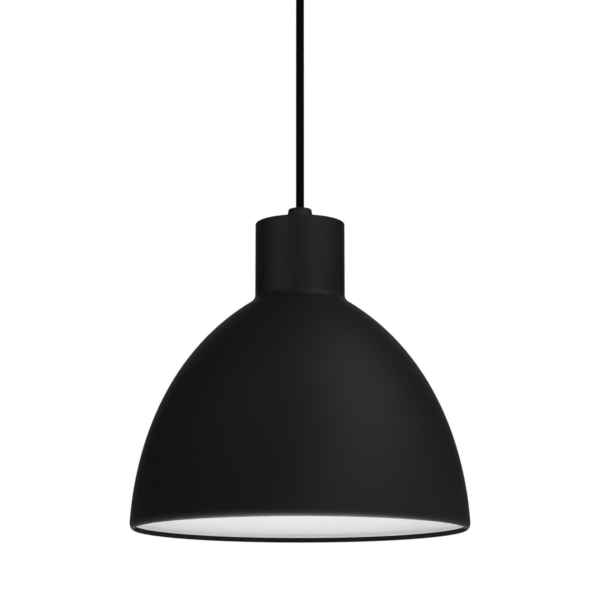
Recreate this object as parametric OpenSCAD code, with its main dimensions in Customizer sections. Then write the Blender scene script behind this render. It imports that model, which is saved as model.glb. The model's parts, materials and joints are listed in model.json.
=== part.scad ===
// Pendant ceiling light: a spun metal dome shade on a round flex, with its ceiling cup,
// cord grips, lampholder, wiring and screw-in bulb. Millimetres, +Z up.
// The origin is the centre of the bracket's top face, where it meets the ceiling.

/* [Shade] */
// Outside diameter at the rim
shade_d = 250; // [240:1:260]
// Height from the rim to the flat top of the neck
shade_h = 231; // [228:0.5:236]
// Outside diameter of the neck
neck_d = 67.4; // [64:0.2:70]
// Sheet thickness of the dome and neck
wall = 1.0; // [0.8:0.1:1.2]
// Thickness of the neck's flat top
crown_t = 1.5; // [1.2:0.1:1.8]
// Height of the bead rolled inside the rim
bead_h = 4.4; // [4:0.1:5]
// Thickness of the bead
bead_t = 3.2; // [3:0.1:3.6]

/* [Cord] */
// Outside diameter of the braided cord
cord_d = 6.2; // [5.8:0.1:6.2]
// Outside diameter of one insulated core
core_d = 2.0; // [1.8:0.1:2.2]

/* [Canopy] */
// Outside diameter of the ceiling cup
canopy_d = 100; // [98:1:110]
// Sheet thickness of the ceiling cup
canopy_wall = 1.2; // [1:0.1:1.4]
// Distance between the bracket's two screw slots
slot_pitch = 56; // [50:1:60]
// Length of a screw slot, end to end
slot_len = 14; // [10:1:16]
// Width of a screw slot
slot_w = 4.6; // [4:0.1:5]

/* [Bulb] */
// Diameter of the globe
globe_d = 60; // [55:1:66]
// Length of the bulb, from the contact tip to the end of the globe
bulb_len = 108; // [100:1:114]

/* [Hidden] */

$fn = 96;
eps = 0.05;    // reach of a cutter past the face that it opens
air = 0.3;     // gap between pieces that move past each other

// The free cord's route, from the mouth of the ceiling grip down to the shade's gland.
cord_route = [[0, 0, -47], [0, 0, -58], [0, 0, -70], [0, 0, -82], [0, 0, -94], [0, 0, -106],
              [0, 0, -118], [0, 0, -130], [0, 0, -142], [0, 0, -154], [0, 0, -166],
              [0, 0, -178], [0, 0, -190], [0, 0, -200], [0, 0, -210], [0, 0, -220]];
cord_sides = 12;
cord_r = cord_d / 2;
core_r = core_d / 2;
core_sides = 8;

// Threads: M10 hollow nipple, M4 and M3 screws, drawn smooth
m10_r = 5;
m10_flat = 14;    // across the flats of an M10 pipe nut
m4_r = 2;
m3_r = 1.5;

// Bracket: a flat bar with two ears bent down
bar_t = 1.5;
bar_w = 20;
ear_t = bar_t;
ear_w = 14;
ear_drop = 20;
wire_hole_r = 8;     // hole that the supply cable comes through
bar_screw_x = 14;    // earth screw, beside the wire hole
side_screw_z = -12;

// Canopy cup
canopy_r = canopy_d / 2;
canopy_top = -0.5;                       // open edge, just under the ceiling
canopy_h = 29.5;                         // depth, which leaves the grip where the cord starts
canopy_base = canopy_top - canopy_h;     // outside of its flat base
canopy_floor = canopy_base + canopy_wall;
canopy_round = 4;                        // radius of its lower edge
ear_x = canopy_r - canopy_wall - 1.2;    // outer face of each of the bracket's ears
earth_post = [-24, -16];                 // the cup's earth screw
tag_t = 0.8;

// Ceiling grip: a threaded stub through the cup's base, and a bell mouth below it
grip_r = 9;
grip_h = 17;
grip_bore_r = cord_r + air;
grip_mouth_z = canopy_base - grip_h;
grip_mouth_r = 7.6;
grip_screw_z = canopy_base - 4;
bell_h = 7.5;
pivot_z = -43.5;       // the cord swings about this point inside the bell mouth
bend_gap = 0.4;
washer_t = 0.8;
nut_t = 3.5;
washer_r = 9;
nut_z = canopy_floor + washer_t;
tail_top_z = -18;

// Terminal block, behind the grip on the cup's floor
block = [30, 16, 12];
block_y = 26;
block_pole = 10;        // distance between poles
turret_h = 3;           // collars round the clamp screws
tube_r = 2.4;
tube_bore_r = 1.6;
clamp_r = 1.3;
clamp_y = 4.5;          // clamp screws, each side of the block's middle
tube_z = canopy_floor + 5.5;

// Shade, measured up from the rim
shade_r = shade_d / 2;
neck_r = neck_d / 2;
neck_edge = 0.8;                         // rounding of the neck's top edge
dome_start = 3;                          // where the dome's curve starts
dome_curve = [[shade_r, dome_start], [shade_r - 4, 72], [93, 134], [38.4, 169]];
neck_blend = 4;                          // height of the blend above the curve's tangent
dome_steps = 36;
blend_steps = 8;
round_steps = 6;
crown_hole_r = m10_r + 0.2;

// Gland and nipple on the neck's top
gland_cap_h = 11.5;
gland_cone_h = 1.3;
gland_base_r = 10.8;
gland_waist_r = 9.35;                    // where the foot's taper meets the cap
gland_waist_h = 7.5;
gland_top_r = 8.85;
gland_round = 1.1;
gland_pocket_r = 6.4;
bush_r = 6.2;
ring_t = 0.6;                            // flat sealing ring under the gland
gland_top = shade_h + gland_cap_h + gland_cone_h;
nipple_top = shade_h + 5;
nipple_base = nipple_top - 23;
nipple_bore_r = 3.5;
bush_base = nipple_top + 0.2;
cord_end_base = shade_h - 22;

// The shade hangs a small gap below the free cord's end
cord_end_z = cord_route[len(cord_route) - 1][2];
rim_z = cord_end_z - air - gland_top;

// Lampholder, measured up from the rim
crown_z = shade_h - crown_t;             // underside of the neck's top
under_washer_z = crown_z - washer_t;
locknut_z = under_washer_z - nut_t;
boss_r = 8;
ring_tag_t = 0.6;                        // earth tag, between the nut and the lampholder
boss_top = locknut_z - ring_tag_t;
grub_z = boss_top - 3.5;
earth_hole_x = 12;                       // where the earth core leaves the lampholder
tongue = 7;                              // length and place of the earth tag's bent tongue
tongue_x = 15;
tongue_hole_z = boss_top - 4.6;
terminal_x = 9;                          // terminals, each side of the core's middle
holder_r = 20;
holder_wall = 2;
cap_base = 197;                          // lower edge of the lampholder's cap
cap_shoulder = 207;
body_base = 166;                         // mouth of the lampholder
core_base = 194;                         // underside of the ceramic core
core_top = 202;
shell_r = 13.6;                          // inside of the threaded shell
shell_t = 0.5;
shell_base = 170;

// Bulb, measured up from the rim; E27 cap
tip_top = 192;
tip_h = 2;
tip_r = 4.6;
insulator_h = 5;
screw_cap_r = 13.1;
screw_cap_h = 20;
screw_cap_t = 0.4;
bulb_end = tip_top - bulb_len;
cap_top = tip_top - tip_h - insulator_h;
cap_end = cap_top - screw_cap_h;
globe_r = globe_d / 2;
globe_mid = bulb_end + globe_r;
globe_t = 1.2;
seam_rise = 14;                          // the globe meets the housing this far above its middle
seam_z = globe_mid + seam_rise;
seam_r = sqrt(pow(globe_r, 2) - pow(seam_rise, 2));
housing_t = 1.6;
led_plate_r = seam_r - housing_t - 0.2;
led_count = 12;

BLACK = [0.09, 0.09, 0.09];
RUBBER = [0.03, 0.03, 0.03];
STEEL = [0.72, 0.72, 0.74];
BRASS = [0.80, 0.66, 0.35];
WHITE = [0.93, 0.93, 0.91];
CERAMIC = [0.90, 0.87, 0.80];
BROWN = [0.36, 0.18, 0.08];
BLUE = [0.10, 0.30, 0.70];
GREEN = [0.25, 0.60, 0.20];

// ---- Curves ----

// Point on a cubic curve, and its direction
function cubic(p, t) = pow(1 - t, 3) * p[0] + 3 * pow(1 - t, 2) * t * p[1]
    + 3 * (1 - t) * t * t * p[2] + pow(t, 3) * p[3];
function cubic_way(p, t) = pow(1 - t, 2) * (p[1] - p[0]) + 2 * (1 - t) * t * (p[2] - p[1])
    + t * t * (p[3] - p[2]);
function quadratic(a, b, c, t) = pow(1 - t, 2) * a + 2 * (1 - t) * t * b + t * t * c;
function unit(v) = v / norm(v);
// The left-hand normal of a direction in the profile plane: it points inwards on the dome
function inward(v) = [-unit(v)[1], unit(v)[0]];
// Points on an arc from angle a to angle b
function arc(centre, r, a, b, steps = round_steps) =
    [for (i = [0 : steps]) centre + r * [cos(a + (b - a) * i / steps), sin(a + (b - a) * i / steps)]];

// The dome and the blend into the neck, as [radius, height] points, moved in by t
function dome_points(t) = [for (i = [0 : dome_steps])
    cubic(dome_curve, i / dome_steps) + t * inward(cubic_way(dome_curve, i / dome_steps))];
function neck_points(t) =
    let (way = cubic_way(dome_curve, 1),
         from = dome_curve[3] + t * inward(way),
         meet = from + way * ((neck_r - t - from[0]) / way[0]),
         to = [neck_r - t, meet[1] + neck_blend + t])
    [for (i = [1 : blend_steps]) quadratic(from, meet, to, i / blend_steps)];

// The shade's section, up the outside, over the crown and down the inside to the bead
function shade_section() = concat(
    arc([shade_r - bead_t / 2, bead_t / 2], bead_t / 2, -90, 0),
    dome_points(0),
    neck_points(0),
    arc([neck_r - neck_edge, shade_h - neck_edge], neck_edge, 0, 90),
    [[crown_hole_r, shade_h], [crown_hole_r, crown_z], [neck_r - wall, crown_z]],
    [for (p = reversed(neck_points(wall))) p],
    [for (p = reversed(dome_points(wall))) if (p[1] > bead_h) p],
    [[shade_r - wall - 0.2, bead_h]],
    arc([shade_r - bead_t + 1, bead_h - 1], 1, 90, 180),
    arc([shade_r - bead_t / 2, bead_t / 2], bead_t / 2, 180, 270));
function reversed(list) = [for (i = [len(list) - 1 : -1 : 0]) list[i]];

// Positions along a smooth curve through a route's points
function smooth_at(a, b, c, d, t) = 0.5 * (2 * b + (c - a) * t
    + (2 * a - 5 * b + 4 * c - d) * t * t + (3 * b - a - 3 * c + d) * pow(t, 3));
function smoothed(route, steps) = let (last = len(route) - 1) concat(
    [for (i = [0 : last - 1], k = [0 : steps - 1])
        smooth_at(route[max(i - 1, 0)], route[i], route[i + 1], route[min(i + 2, last)], k / steps)],
    [route[last]]);

// A round tube swept along points; side is a direction that the points never run along
module swept(points, r, sides, side = [1, 0, 0]) {
    last = len(points) - 1;
    ways = [for (i = [0 : last]) unit(points[min(i + 1, last)] - points[max(i - 1, 0)])];
    rings = [for (i = [0 : last])
        let (u = unit(cross(ways[i], side)), v = cross(ways[i], u))
        for (k = [0 : sides - 1])
            points[i] + r * (cos(360 * k / sides) * u + sin(360 * k / sides) * v)];
    walls = [for (i = [0 : last - 1], k = [0 : sides - 1])
        let (a = i * sides + k, b = i * sides + (k + 1) % sides)
        each [[a, a + sides, b + sides], [a, b + sides, b]]];
    polyhedron(rings, concat([[for (k = [0 : sides - 1]) k]], walls,
        [[for (k = [sides - 1 : -1 : 0]) last * sides + k]]), convexity = 4);
}

// ---- Shared shapes ----

// A ring with its axis on Z, its base at z
module ring(outer, inner, height, z = 0) {
    translate([0, 0, z]) difference() {
        cylinder(r = outer, h = height);
        translate([0, 0, -eps]) cylinder(r = inner, h = height + 2 * eps);
    }
}

module hex_nut(flat, bore_r, height) {
    difference() {
        cylinder(r = flat / 2 / cos(30), h = height, $fn = 6);
        translate([0, 0, -eps]) cylinder(r = bore_r, h = height + 2 * eps);
    }
}

// A slotted pan-head screw with its head above z = 0 and its shank below
module slotted_screw(r, length, head_r, head_h) {
    slot = head_r / 4;
    difference() {
        union() {
            translate([0, 0, -length]) cylinder(r = r, h = length);
            rotate_extrude() polygon(concat([[0, 0], [head_r, 0]],
                arc([head_r - head_h / 2, head_h / 2], head_h / 2, 0, 90), [[0, head_h]]));
        }
        translate([-head_r - eps, -slot / 2, head_h * 0.55])
            cube([2 * (head_r + eps), slot, head_h]);
    }
}

module grub_screw(r, length) {
    slot = 0.5;
    difference() {
        cylinder(r = r, h = length);
        translate([-r - eps, -slot / 2, length - 0.8]) cube([2 * (r + eps), slot, 1]);
    }
}

module from_rim() { translate([0, 0, rim_z]) children(); }

// ---- Ceiling bracket ----

module screw_slot() {
    for (end = [-1, 1])
        translate([end * (slot_len - slot_w) / 2, 0, -bar_t - eps])
            cylinder(r = slot_w / 2, h = bar_t + 2 * eps);
    translate([-(slot_len - slot_w) / 2, -slot_w / 2, -bar_t - eps])
        cube([slot_len - slot_w, slot_w, bar_t + 2 * eps]);
}

module mounting_bracket() {
    open_slot_r = m4_r + air;
    color(STEEL) difference() {
        union() {
            translate([-ear_x, -bar_w / 2, -bar_t]) cube([2 * ear_x, bar_w, bar_t]);
            for (end = [-1, 1])
                translate([end * (ear_x - ear_t / 2) - ear_t / 2, -ear_w / 2, -ear_drop])
                    cube([ear_t, ear_w, ear_drop - bar_t + eps]);
        }
        translate([0, 0, -bar_t - eps]) cylinder(r = wire_hole_r, h = bar_t + 2 * eps);
        for (end = [-1, 1]) {
            translate([end * slot_pitch / 2, 0, 0]) screw_slot();
            // each ear has a slot open at its lower edge, which the side screw slides in
            translate([end * ear_x, 0, side_screw_z]) rotate([0, 90, 0])
                cylinder(r = open_slot_r, h = 3 * ear_t, center = true);
            translate([end * ear_x - 1.5 * ear_t, -open_slot_r, -ear_drop - eps])
                cube([3 * ear_t, 2 * open_slot_r, side_screw_z + ear_drop + eps]);
        }
        translate([bar_screw_x, 0, -bar_t - eps]) cylinder(r = m4_r, h = bar_t + 2 * eps);
    }
}

module bracket_earth_screw() {
    color(BRASS) translate([bar_screw_x, 0, -bar_t - 0.05]) rotate([180, 0, 0])
        slotted_screw(m4_r - 0.05, bar_t - 0.25, 3.6, 2);
}

// ---- Canopy ----

module canopy_cup() {
    inner_round = canopy_round - canopy_wall;
    color(BLACK) difference() {
        rotate_extrude() polygon(concat(
            [[m10_r + 0.2, canopy_base]],
            arc([canopy_r - canopy_round, canopy_base + canopy_round], canopy_round, -90, 0),
            [[canopy_r, canopy_top], [canopy_r - canopy_wall, canopy_top]],
            arc([canopy_r - canopy_round, canopy_base + canopy_round], inner_round, 0, -90),
            [[m10_r + 0.2, canopy_floor]]));
        translate([0, 0, side_screw_z]) rotate([0, 90, 0])
            cylinder(r = m4_r + 0.1, h = 2 * canopy_r + 2, center = true);
        for (at = [[block_pole / 2, block_y], earth_post])
            translate([at[0], at[1], canopy_base - eps]) cylinder(r = m3_r, h = canopy_wall + 2 * eps);
    }
}

// Knurled thumb screws that clamp the ears against the cup
module canopy_side_screws() {
    head_r = 5;
    head_h = 5;
    ridges = 20;
    color(BLACK) for (end = [0, 180]) rotate([0, 0, end])
        translate([canopy_r + 0.1, 0, side_screw_z]) rotate([0, 90, 0]) {
            translate([0, 0, -(canopy_r - ear_x) - 6]) cylinder(r = m4_r, h = canopy_r - ear_x + 6.1);
            cylinder(r = head_r, h = head_h);
            for (k = [0 : ridges - 1]) rotate([0, 0, 360 * k / ridges])
                translate([head_r, 0, 0.5]) cylinder(r = 0.4, h = head_h - 1, $fn = 16);
        }
}

module canopy_side_nuts() {
    color(STEEL) for (end = [0, 180]) rotate([0, 0, end])
        translate([ear_x - ear_t - air - 2.4, 0, side_screw_z]) rotate([0, 90, 0])
            hex_nut(7, m4_r, 2.4);
}

module ceiling_grip() {
    stub_h = 9;
    throat_z = grip_mouth_z + bell_h;
    color(BLACK) difference() {
        rotate_extrude() polygon(concat(
            [[grip_bore_r, canopy_base + stub_h], [grip_bore_r, throat_z]],
            // the bell mouth opens on a quarter ellipse
            [for (i = [1 : round_steps]) let (a = 90 * i / round_steps)
                [grip_bore_r + (grip_mouth_r - grip_bore_r) * (1 - cos(a)), throat_z - bell_h * sin(a)]],
            arc([grip_r - 1, grip_mouth_z + 1], 1, -90, 0),
            [[grip_r, canopy_base], [m10_r, canopy_base], [m10_r, canopy_base + stub_h]]));
        translate([0, 0, grip_screw_z]) rotate([0, 90, 0]) cylinder(r = m3_r, h = grip_r + 1);
    }
}

module ceiling_grip_washer() {
    color(STEEL) ring(washer_r, m10_r + 0.2, washer_t, canopy_floor);
}

module ceiling_grip_locknut() {
    color(BRASS) translate([0, 0, nut_z]) hex_nut(m10_flat, m10_r, nut_t);
}

// Grub screw that presses on the cord; its slotted end stands just inside the grip
module ceiling_grip_screw() {
    color(STEEL) translate([cord_r, 0, grip_screw_z]) rotate([0, 90, 0])
        grub_screw(m3_r, grip_r - cord_r - 0.3);
}

// ---- Terminal block and wiring in the canopy ----

module each_pole() { for (k = [-1 : 1]) translate([k * block_pole, 0, 0]) children(); }
module each_clamp() { each_pole() for (k = [-1, 1]) translate([0, k * clamp_y, 0]) children(); }

module terminal_block() {
    turret_r = 3.4;
    body_h = block[2] - turret_h;
    color(WHITE) translate([0, block_y, 0]) difference() {
        union() {
            translate([-block[0] / 2, -block[1] / 2, canopy_floor]) cube([block[0], block[1], body_h]);
            each_clamp() translate([0, 0, canopy_floor + body_h]) cylinder(r = turret_r, h = turret_h);
        }
        each_pole() translate([0, 0, tube_z]) rotate([90, 0, 0])
            cylinder(r = tube_r, h = block[1] + 2, center = true);
        each_clamp() translate([0, 0, tube_z]) cylinder(r = clamp_r + 0.1, h = block[2]);
        translate([block_pole / 2, 0, canopy_floor - eps]) cylinder(r = m3_r, h = block[2]);
    }
}

module terminal_tubes() {
    color(BRASS) translate([0, block_y, 0]) each_pole() difference() {
        translate([0, 0, tube_z]) rotate([90, 0, 0]) difference() {
            cylinder(r = tube_r, h = block[1] - 1, center = true);
            cylinder(r = tube_bore_r, h = block[1], center = true);
        }
        for (k = [-1, 1]) translate([0, k * clamp_y, tube_z]) cylinder(r = clamp_r + 0.05, h = tube_r + 1);
    }
}

module terminal_clamp_screws() {
    color(STEEL) translate([0, block_y, 0]) each_clamp()
        translate([0, 0, tube_z + core_r]) grub_screw(clamp_r, 5);
}

module terminal_block_screw() {
    top = canopy_floor + block[2] - turret_h;
    color(STEEL) translate([block_pole / 2, block_y, top])
        slotted_screw(m3_r, top - canopy_base - 0.1, 2.4, 1.4);
}

module canopy_earth_tag() {
    color(BRASS) translate([earth_post[0], earth_post[1], canopy_floor]) difference() {
        union() {
            cylinder(r = 4, h = tag_t);
            translate([-1.6, 0, 0]) cube([3.2, 9, tag_t]);
        }
        translate([0, 0, -eps]) cylinder(r = m3_r + 0.1, h = 1);
    }
}

module canopy_earth_screw() {
    color(STEEL) translate([earth_post[0], earth_post[1], canopy_floor + tag_t])
        slotted_screw(m3_r, tag_t + canopy_wall - 0.1, 3, 1.8);
}

// Routes of the cores from the cord's stripped end to the terminal block
function upper_route(x0, y0, x1) = [
    [x0, y0, tail_top_z + 0.1], [x0, y0, tail_top_z + 1.2], [x0 * 1.6, y0 + 0.3, tail_top_z + 3],
    [x0 + (x1 - x0) * 0.3, 4, -12.5],
    [x0 + (x1 - x0) * 0.75, 9, -13.5], [x1, 13, -18], [x1, block_y - 10, tube_z + 0.4],
    [x1, block_y - 8, tube_z], [x1, block_y - 2.5, tube_z]];

module upper_core(x0, y0, x1) {
    swept(smoothed(upper_route(x0, y0, x1), 3), core_r, core_sides);
}

module upper_live_core() { color(BROWN) upper_core(-1.3, 0.9, -block_pole); }
module upper_neutral_core() { color(BLUE) upper_core(0, -1.5, 0); }
module upper_earth_core() { color(GREEN) upper_core(1.3, 0.9, block_pole); }

// Short lead from the block's earth pole round to the cup's own earth tag
module canopy_earth_lead() {
    crimp_z = canopy_floor + tag_t + core_r + 0.05;
    route = [[block_pole, block_y + 2.5, tube_z], [block_pole, block_y + 6, tube_z],
             [block_pole, block_y + 9, tube_z], [7, block_y + 13, tube_z + 1],
             [-2, 41, tube_z + 2], [-16, 36, tube_z + 2], [-29, 22, tube_z], [-33, 6, tube_z - 1],
             [-28, -2, crimp_z + 0.6], [-24.5, -6, crimp_z], [-24, -9, crimp_z],
             [-24, -12.4, crimp_z]];
    color(GREEN) swept(smoothed(route, 3), core_r, core_sides, [0, 0, 1]);
}

// ---- Cord ----

module cord_tail() {
    base = pivot_z + cord_r + bend_gap;
    color(RUBBER) translate([0, 0, base]) cylinder(r = cord_r, h = tail_top_z - base);
}

// The short bend in the grip's mouth, about which the lamp swings
module cord_bend() { color(RUBBER) translate([0, 0, pivot_z]) sphere(r = cord_r); }

module cord() { color(RUBBER) swept(cord_route, cord_r, cord_sides); }

module cord_end() {
    color(RUBBER) translate([0, 0, cord_end_base])
        from_rim() cylinder(r = cord_r, h = gland_top - cord_end_base);
}

// ---- Gland, nipple and shade ----

module cord_gland() {
    flats = 6;
    color(BLACK) from_rim() difference() {
        rotate_extrude() polygon(concat(
            [[m10_r, shade_h + ring_t], [gland_base_r, shade_h + ring_t],
             [gland_base_r, shade_h + 3.5], [gland_waist_r, shade_h + gland_waist_h]],
            arc([gland_top_r - gland_round, shade_h + gland_cap_h - gland_round - 0.1],
                gland_round, 10, 85),
            [[cord_r + 1.2, shade_h + gland_cap_h], [cord_r + 1.2, nipple_top + 4.2],
             [gland_pocket_r, nipple_top + 2.2], [gland_pocket_r, nipple_top],
             [m10_r, nipple_top]]));
        // flats for a spanner round the foot
        for (k = [0 : flats - 1]) rotate([0, 0, 360 * k / flats])
            translate([gland_base_r * cos(30) + 0.7, -gland_base_r, shade_h])
                cube([gland_base_r, 2 * gland_base_r, 3.4]);
    }
}

// Soft bush that the gland squeezes on the cord; its cone shows round the cord
module gland_bush() {
    color(RUBBER) from_rim() rotate_extrude() polygon([
        [cord_r, bush_base], [bush_r, bush_base], [bush_r, nipple_top + 2.1],
        [cord_r + 1.1, nipple_top + 4.1], [cord_r + 1.1, shade_h + gland_cap_h + eps],
        [cord_r + 1.5, shade_h + gland_cap_h + eps], [cord_r + 0.3, gland_top], [cord_r, gland_top]]);
}

module gland_washer() {
    color(RUBBER) from_rim() ring(gland_base_r - 0.5, m10_r + 0.1, ring_t, shade_h);
}

module threaded_nipple() {
    color(STEEL) from_rim() ring(m10_r, nipple_bore_r, nipple_top - nipple_base, nipple_base);
}

module shade() { color(BLACK) from_rim() rotate_extrude($fn = 180) polygon(shade_section()); }

module shade_washer() {
    color(STEEL) from_rim() ring(washer_r, m10_r + 0.2, washer_t, under_washer_z);
}

// Ring tag held under the locknut, with a bent tongue for the earth core
module shade_earth_tag() {
    t = ring_tag_t;
    color(BRASS) from_rim() difference() {
        translate([0, 0, boss_top]) union() {
            cylinder(r = boss_r, h = t);
            translate([0, -2, 0]) cube([tongue_x, 4, t]);
            translate([tongue_x - t, -2, -tongue]) cube([t, 4, tongue + t]);
        }
        translate([0, 0, boss_top - eps]) cylinder(r = m10_r + 0.1, h = 1);
        translate([tongue_x - 1, 0, tongue_hole_z]) rotate([0, 90, 0])
            cylinder(r = core_r + 0.1, h = 3);
    }
}

module nipple_locknut() {
    color(BRASS) from_rim() translate([0, 0, locknut_z]) hex_nut(m10_flat, m10_r, nut_t);
}

// ---- Lampholder ----

module holder_cap() {
    boss_base = cap_shoulder + 5;
    color(BLACK) from_rim() difference() {
        rotate_extrude() polygon(concat(
            [[m10_r, boss_top], [m10_r, boss_base - holder_wall],
             [holder_r - 6, boss_base - holder_wall]],
            arc([holder_r - 6, cap_shoulder - 1], 4, 90, 0),
            [[holder_r - holder_wall, cap_base], [holder_r + 0.8, cap_base]],
            arc([holder_r - 6, cap_shoulder - 1], 6.8, 0, 90),
            [[boss_r, boss_base + 1.2], [boss_r, boss_top]]));
        translate([0, 0, grub_z]) rotate([-90, 0, 0]) cylinder(r = m3_r, h = boss_r + 1);
        // side hole that the earth core comes out through
        translate([earth_hole_x, 0, cap_shoulder]) cylinder(r = core_r + 0.6, h = 8);
    }
}

module holder_grub_screw() {
    color(STEEL) from_rim() translate([0, m10_r, grub_z]) rotate([-90, 0, 0])
        grub_screw(m3_r, boss_r - m10_r - 0.3);
}

module holder_body() {
    inner = shell_r + shell_t + 1.4;
    neck = holder_r - holder_wall - 0.1;
    lip = 3;
    color(BLACK) from_rim() rotate_extrude() polygon(concat(
        [[inner, body_base]],
        arc([holder_r - 0.8, body_base + 0.8], 0.8, -90, 0, 3),
        [[holder_r, body_base + lip], [holder_r - 0.8, body_base + lip + 1],
         [holder_r - 0.8, cap_base - 6], [holder_r, cap_base - 5], [holder_r, cap_base - 0.2],
         [neck, cap_base - 0.2], [neck, core_top - 1.5], [neck - 1.6, core_top - 1.5],
         [neck - 1.6, core_base], [inner, core_base]]));
}

module holder_core() {
    well_r = 7;
    core_r2 = holder_r - holder_wall - 0.1 - 1.6 - 0.1;
    color(CERAMIC) from_rim() difference() {
        translate([0, 0, core_base + 0.1]) cylinder(r = core_r2, h = core_top - core_base - 0.1);
        // shallow wells under the two terminals and a through slot for the contact's rivet
        for (s = [-1, 1]) translate([s * terminal_x, 0, core_top - 3]) cylinder(r = 3.4, h = 4);
        translate([0, 0, core_base]) cylinder(r = 1.6, h = core_top);
        translate([0, 0, core_top - 1.5]) cylinder(r = well_r - 2, h = 2);
    }
}

module holder_terminal_screws() {
    color(BRASS) from_rim() for (s = [-1, 1]) translate([s * terminal_x, 0, core_top - 0.6])
        slotted_screw(m3_r, 2.3, 2.9, 1.8);
}

// Sprung brass tongue on a rivet, which presses on the bulb's tip
module holder_contact() {
    t = 0.4;
    color(BRASS) from_rim() {
        translate([0, 0, core_base - 0.1]) cylinder(r = 1.5, h = core_top - core_base - 1.2);
        translate([-5.5, -2, core_base - 0.1 - t]) cube([11, 4, t]);
        translate([-5.5, -2, tip_top + air]) cube([t, 4, core_base - 0.1 - tip_top - air]);
        translate([-5.5, -2, tip_top + air]) cube([8.5, 4, t]);
    }
}

module holder_screw_shell() {
    color(BRASS) from_rim() difference() {
        translate([0, 0, shell_base]) cylinder(r = shell_r + shell_t, h = core_base - shell_base);
        translate([0, 0, shell_base - eps]) cylinder(r = shell_r, h = core_base - shell_base - 0.6);
        translate([0, 0, core_base - 2]) cylinder(r = 8.5, h = 3);
    }
}

// Routes of the cores from the cord's end to the lampholder's terminals and the earth tag
module lower_core(route) {
    from_rim() swept(smoothed(route, 3), core_r, core_sides, [0, 1, 0]);
}

module lower_live_core() {
    color(BROWN) lower_core([[-1.3, 0.9, cord_end_base - 0.1], [-1.3, 0.9, cord_end_base - 1],
        [-1.5, 0.9, cord_end_base - 2.5],
        [-2.9, 0.7, core_top + 2], [-4.6, 0.3, core_top + 1.2], [-6, 0.2, core_top + 1.1]]);
}

module lower_neutral_core() {
    color(BLUE) lower_core([[1.3, 0.9, cord_end_base - 0.1], [1.3, 0.9, cord_end_base - 1],
        [1.5, 0.9, cord_end_base - 2.5],
        [2.9, 0.7, core_top + 2], [4.6, 0.3, core_top + 1.2], [6, 0.2, core_top + 1.1]]);
}

module lower_earth_core() {
    color(GREEN) lower_core([[0, -1.5, cord_end_base - 0.1], [0, -1.5, cord_end_base - 1],
        [0.6, -2.2, cord_end_base - 2.5],
        [5, -4, core_top + 3.4], [9.6, -3, core_top + 4.2], [11.8, -0.6, core_top + 6.5],
        [earth_hole_x, 0, core_top + 9], [earth_hole_x, 0, core_top + 14],
        [12.5, 0, tongue_hole_z - 0.6], [13.6, 0, tongue_hole_z],
        [tongue_x + 0.6, 0, tongue_hole_z]]);
}

// ---- Bulb ----

module bulb_tip() {
    color(STEEL) from_rim() translate([0, 0, tip_top - tip_h]) rotate_extrude()
        polygon([[0, 0], [tip_r, 0], [tip_r, 0.6], [3.2, 1.5], [1.6, tip_h], [0, tip_h]]);
}

module bulb_insulator() {
    color(BLACK) from_rim() rotate_extrude() polygon([
        [0, cap_top], [screw_cap_r - 2.2, cap_top], [screw_cap_r - 2.6, cap_top + 1],
        [tip_r + 0.8, tip_top - tip_h - air], [0, tip_top - tip_h - air]]);
}

module bulb_screw_cap() {
    color(STEEL) from_rim() difference() {
        rotate_extrude() polygon([[0, cap_end], [screw_cap_r, cap_end], [screw_cap_r, cap_top - 2],
            [screw_cap_r - 2, cap_top], [0, cap_top]]);
        translate([0, 0, cap_end - eps])
            cylinder(r = screw_cap_r - screw_cap_t, h = screw_cap_h - 2 - screw_cap_t);
        translate([0, 0, cap_top - 3]) cylinder(r = 1.5, h = 4);
    }
}

// White housing, flared from the cap to the globe
module bulb_housing() {
    t = housing_t;
    foot_r = screw_cap_r - screw_cap_t - 0.05;
    flare = [[16, cap_end - 1], [18, cap_end - 12], [26, seam_z + 14], [seam_r, seam_z]];
    steps = 14;
    color(WHITE) from_rim() rotate_extrude() polygon(concat(
        [[foot_r - t, cap_end + 8], [foot_r, cap_end + 8], [foot_r, cap_end - 0.05],
         [14.6, cap_end - 0.05]],
        [for (i = [0 : steps]) cubic(flare, i / steps)],
        [for (i = [steps : -1 : 0]) cubic(flare, i / steps) + [-t, 0]],
        [[foot_r - t, cap_end - 2]]));
}

module bulb_globe() {
    low = -90;
    inside_r = globe_r - globe_t;
    color(WHITE) from_rim() rotate_extrude() polygon(concat(
        arc([0, globe_mid], globe_r, low, asin(seam_rise / globe_r), 24),
        arc([0, globe_mid], inside_r, asin(seam_rise / inside_r), low, 24)));
}

module led_plate() {
    color(STEEL) from_rim() translate([0, 0, seam_z + 0.2]) cylinder(r = led_plate_r, h = 1.6);
}

module led_chips() {
    chip = [3.5, 2.8, 0.8];
    color([0.95, 0.85, 0.4]) from_rim() for (k = [0 : led_count - 1])
        rotate([0, 0, 360 * k / led_count])
            translate([led_plate_r * 0.62, -chip[1] / 2, seam_z + 0.2 - chip[2]]) cube(chip);
}

module driver_board() {
    color(GREEN) from_rim() translate([-9, -0.8, seam_z + 4]) cube([18, 1.6, cap_end - seam_z]);
}

module driver_parts() {
    color(RUBBER) from_rim() {
        translate([0, 0.8, seam_z + 12]) rotate([-90, 0, 0]) cylinder(r = 4, h = 7);
        translate([-6, 0.8, seam_z + 20]) cube([10, 5, 7]);
        translate([-4, -4.8, seam_z + 9]) cube([8, 4, 9]);
    }
}

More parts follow.
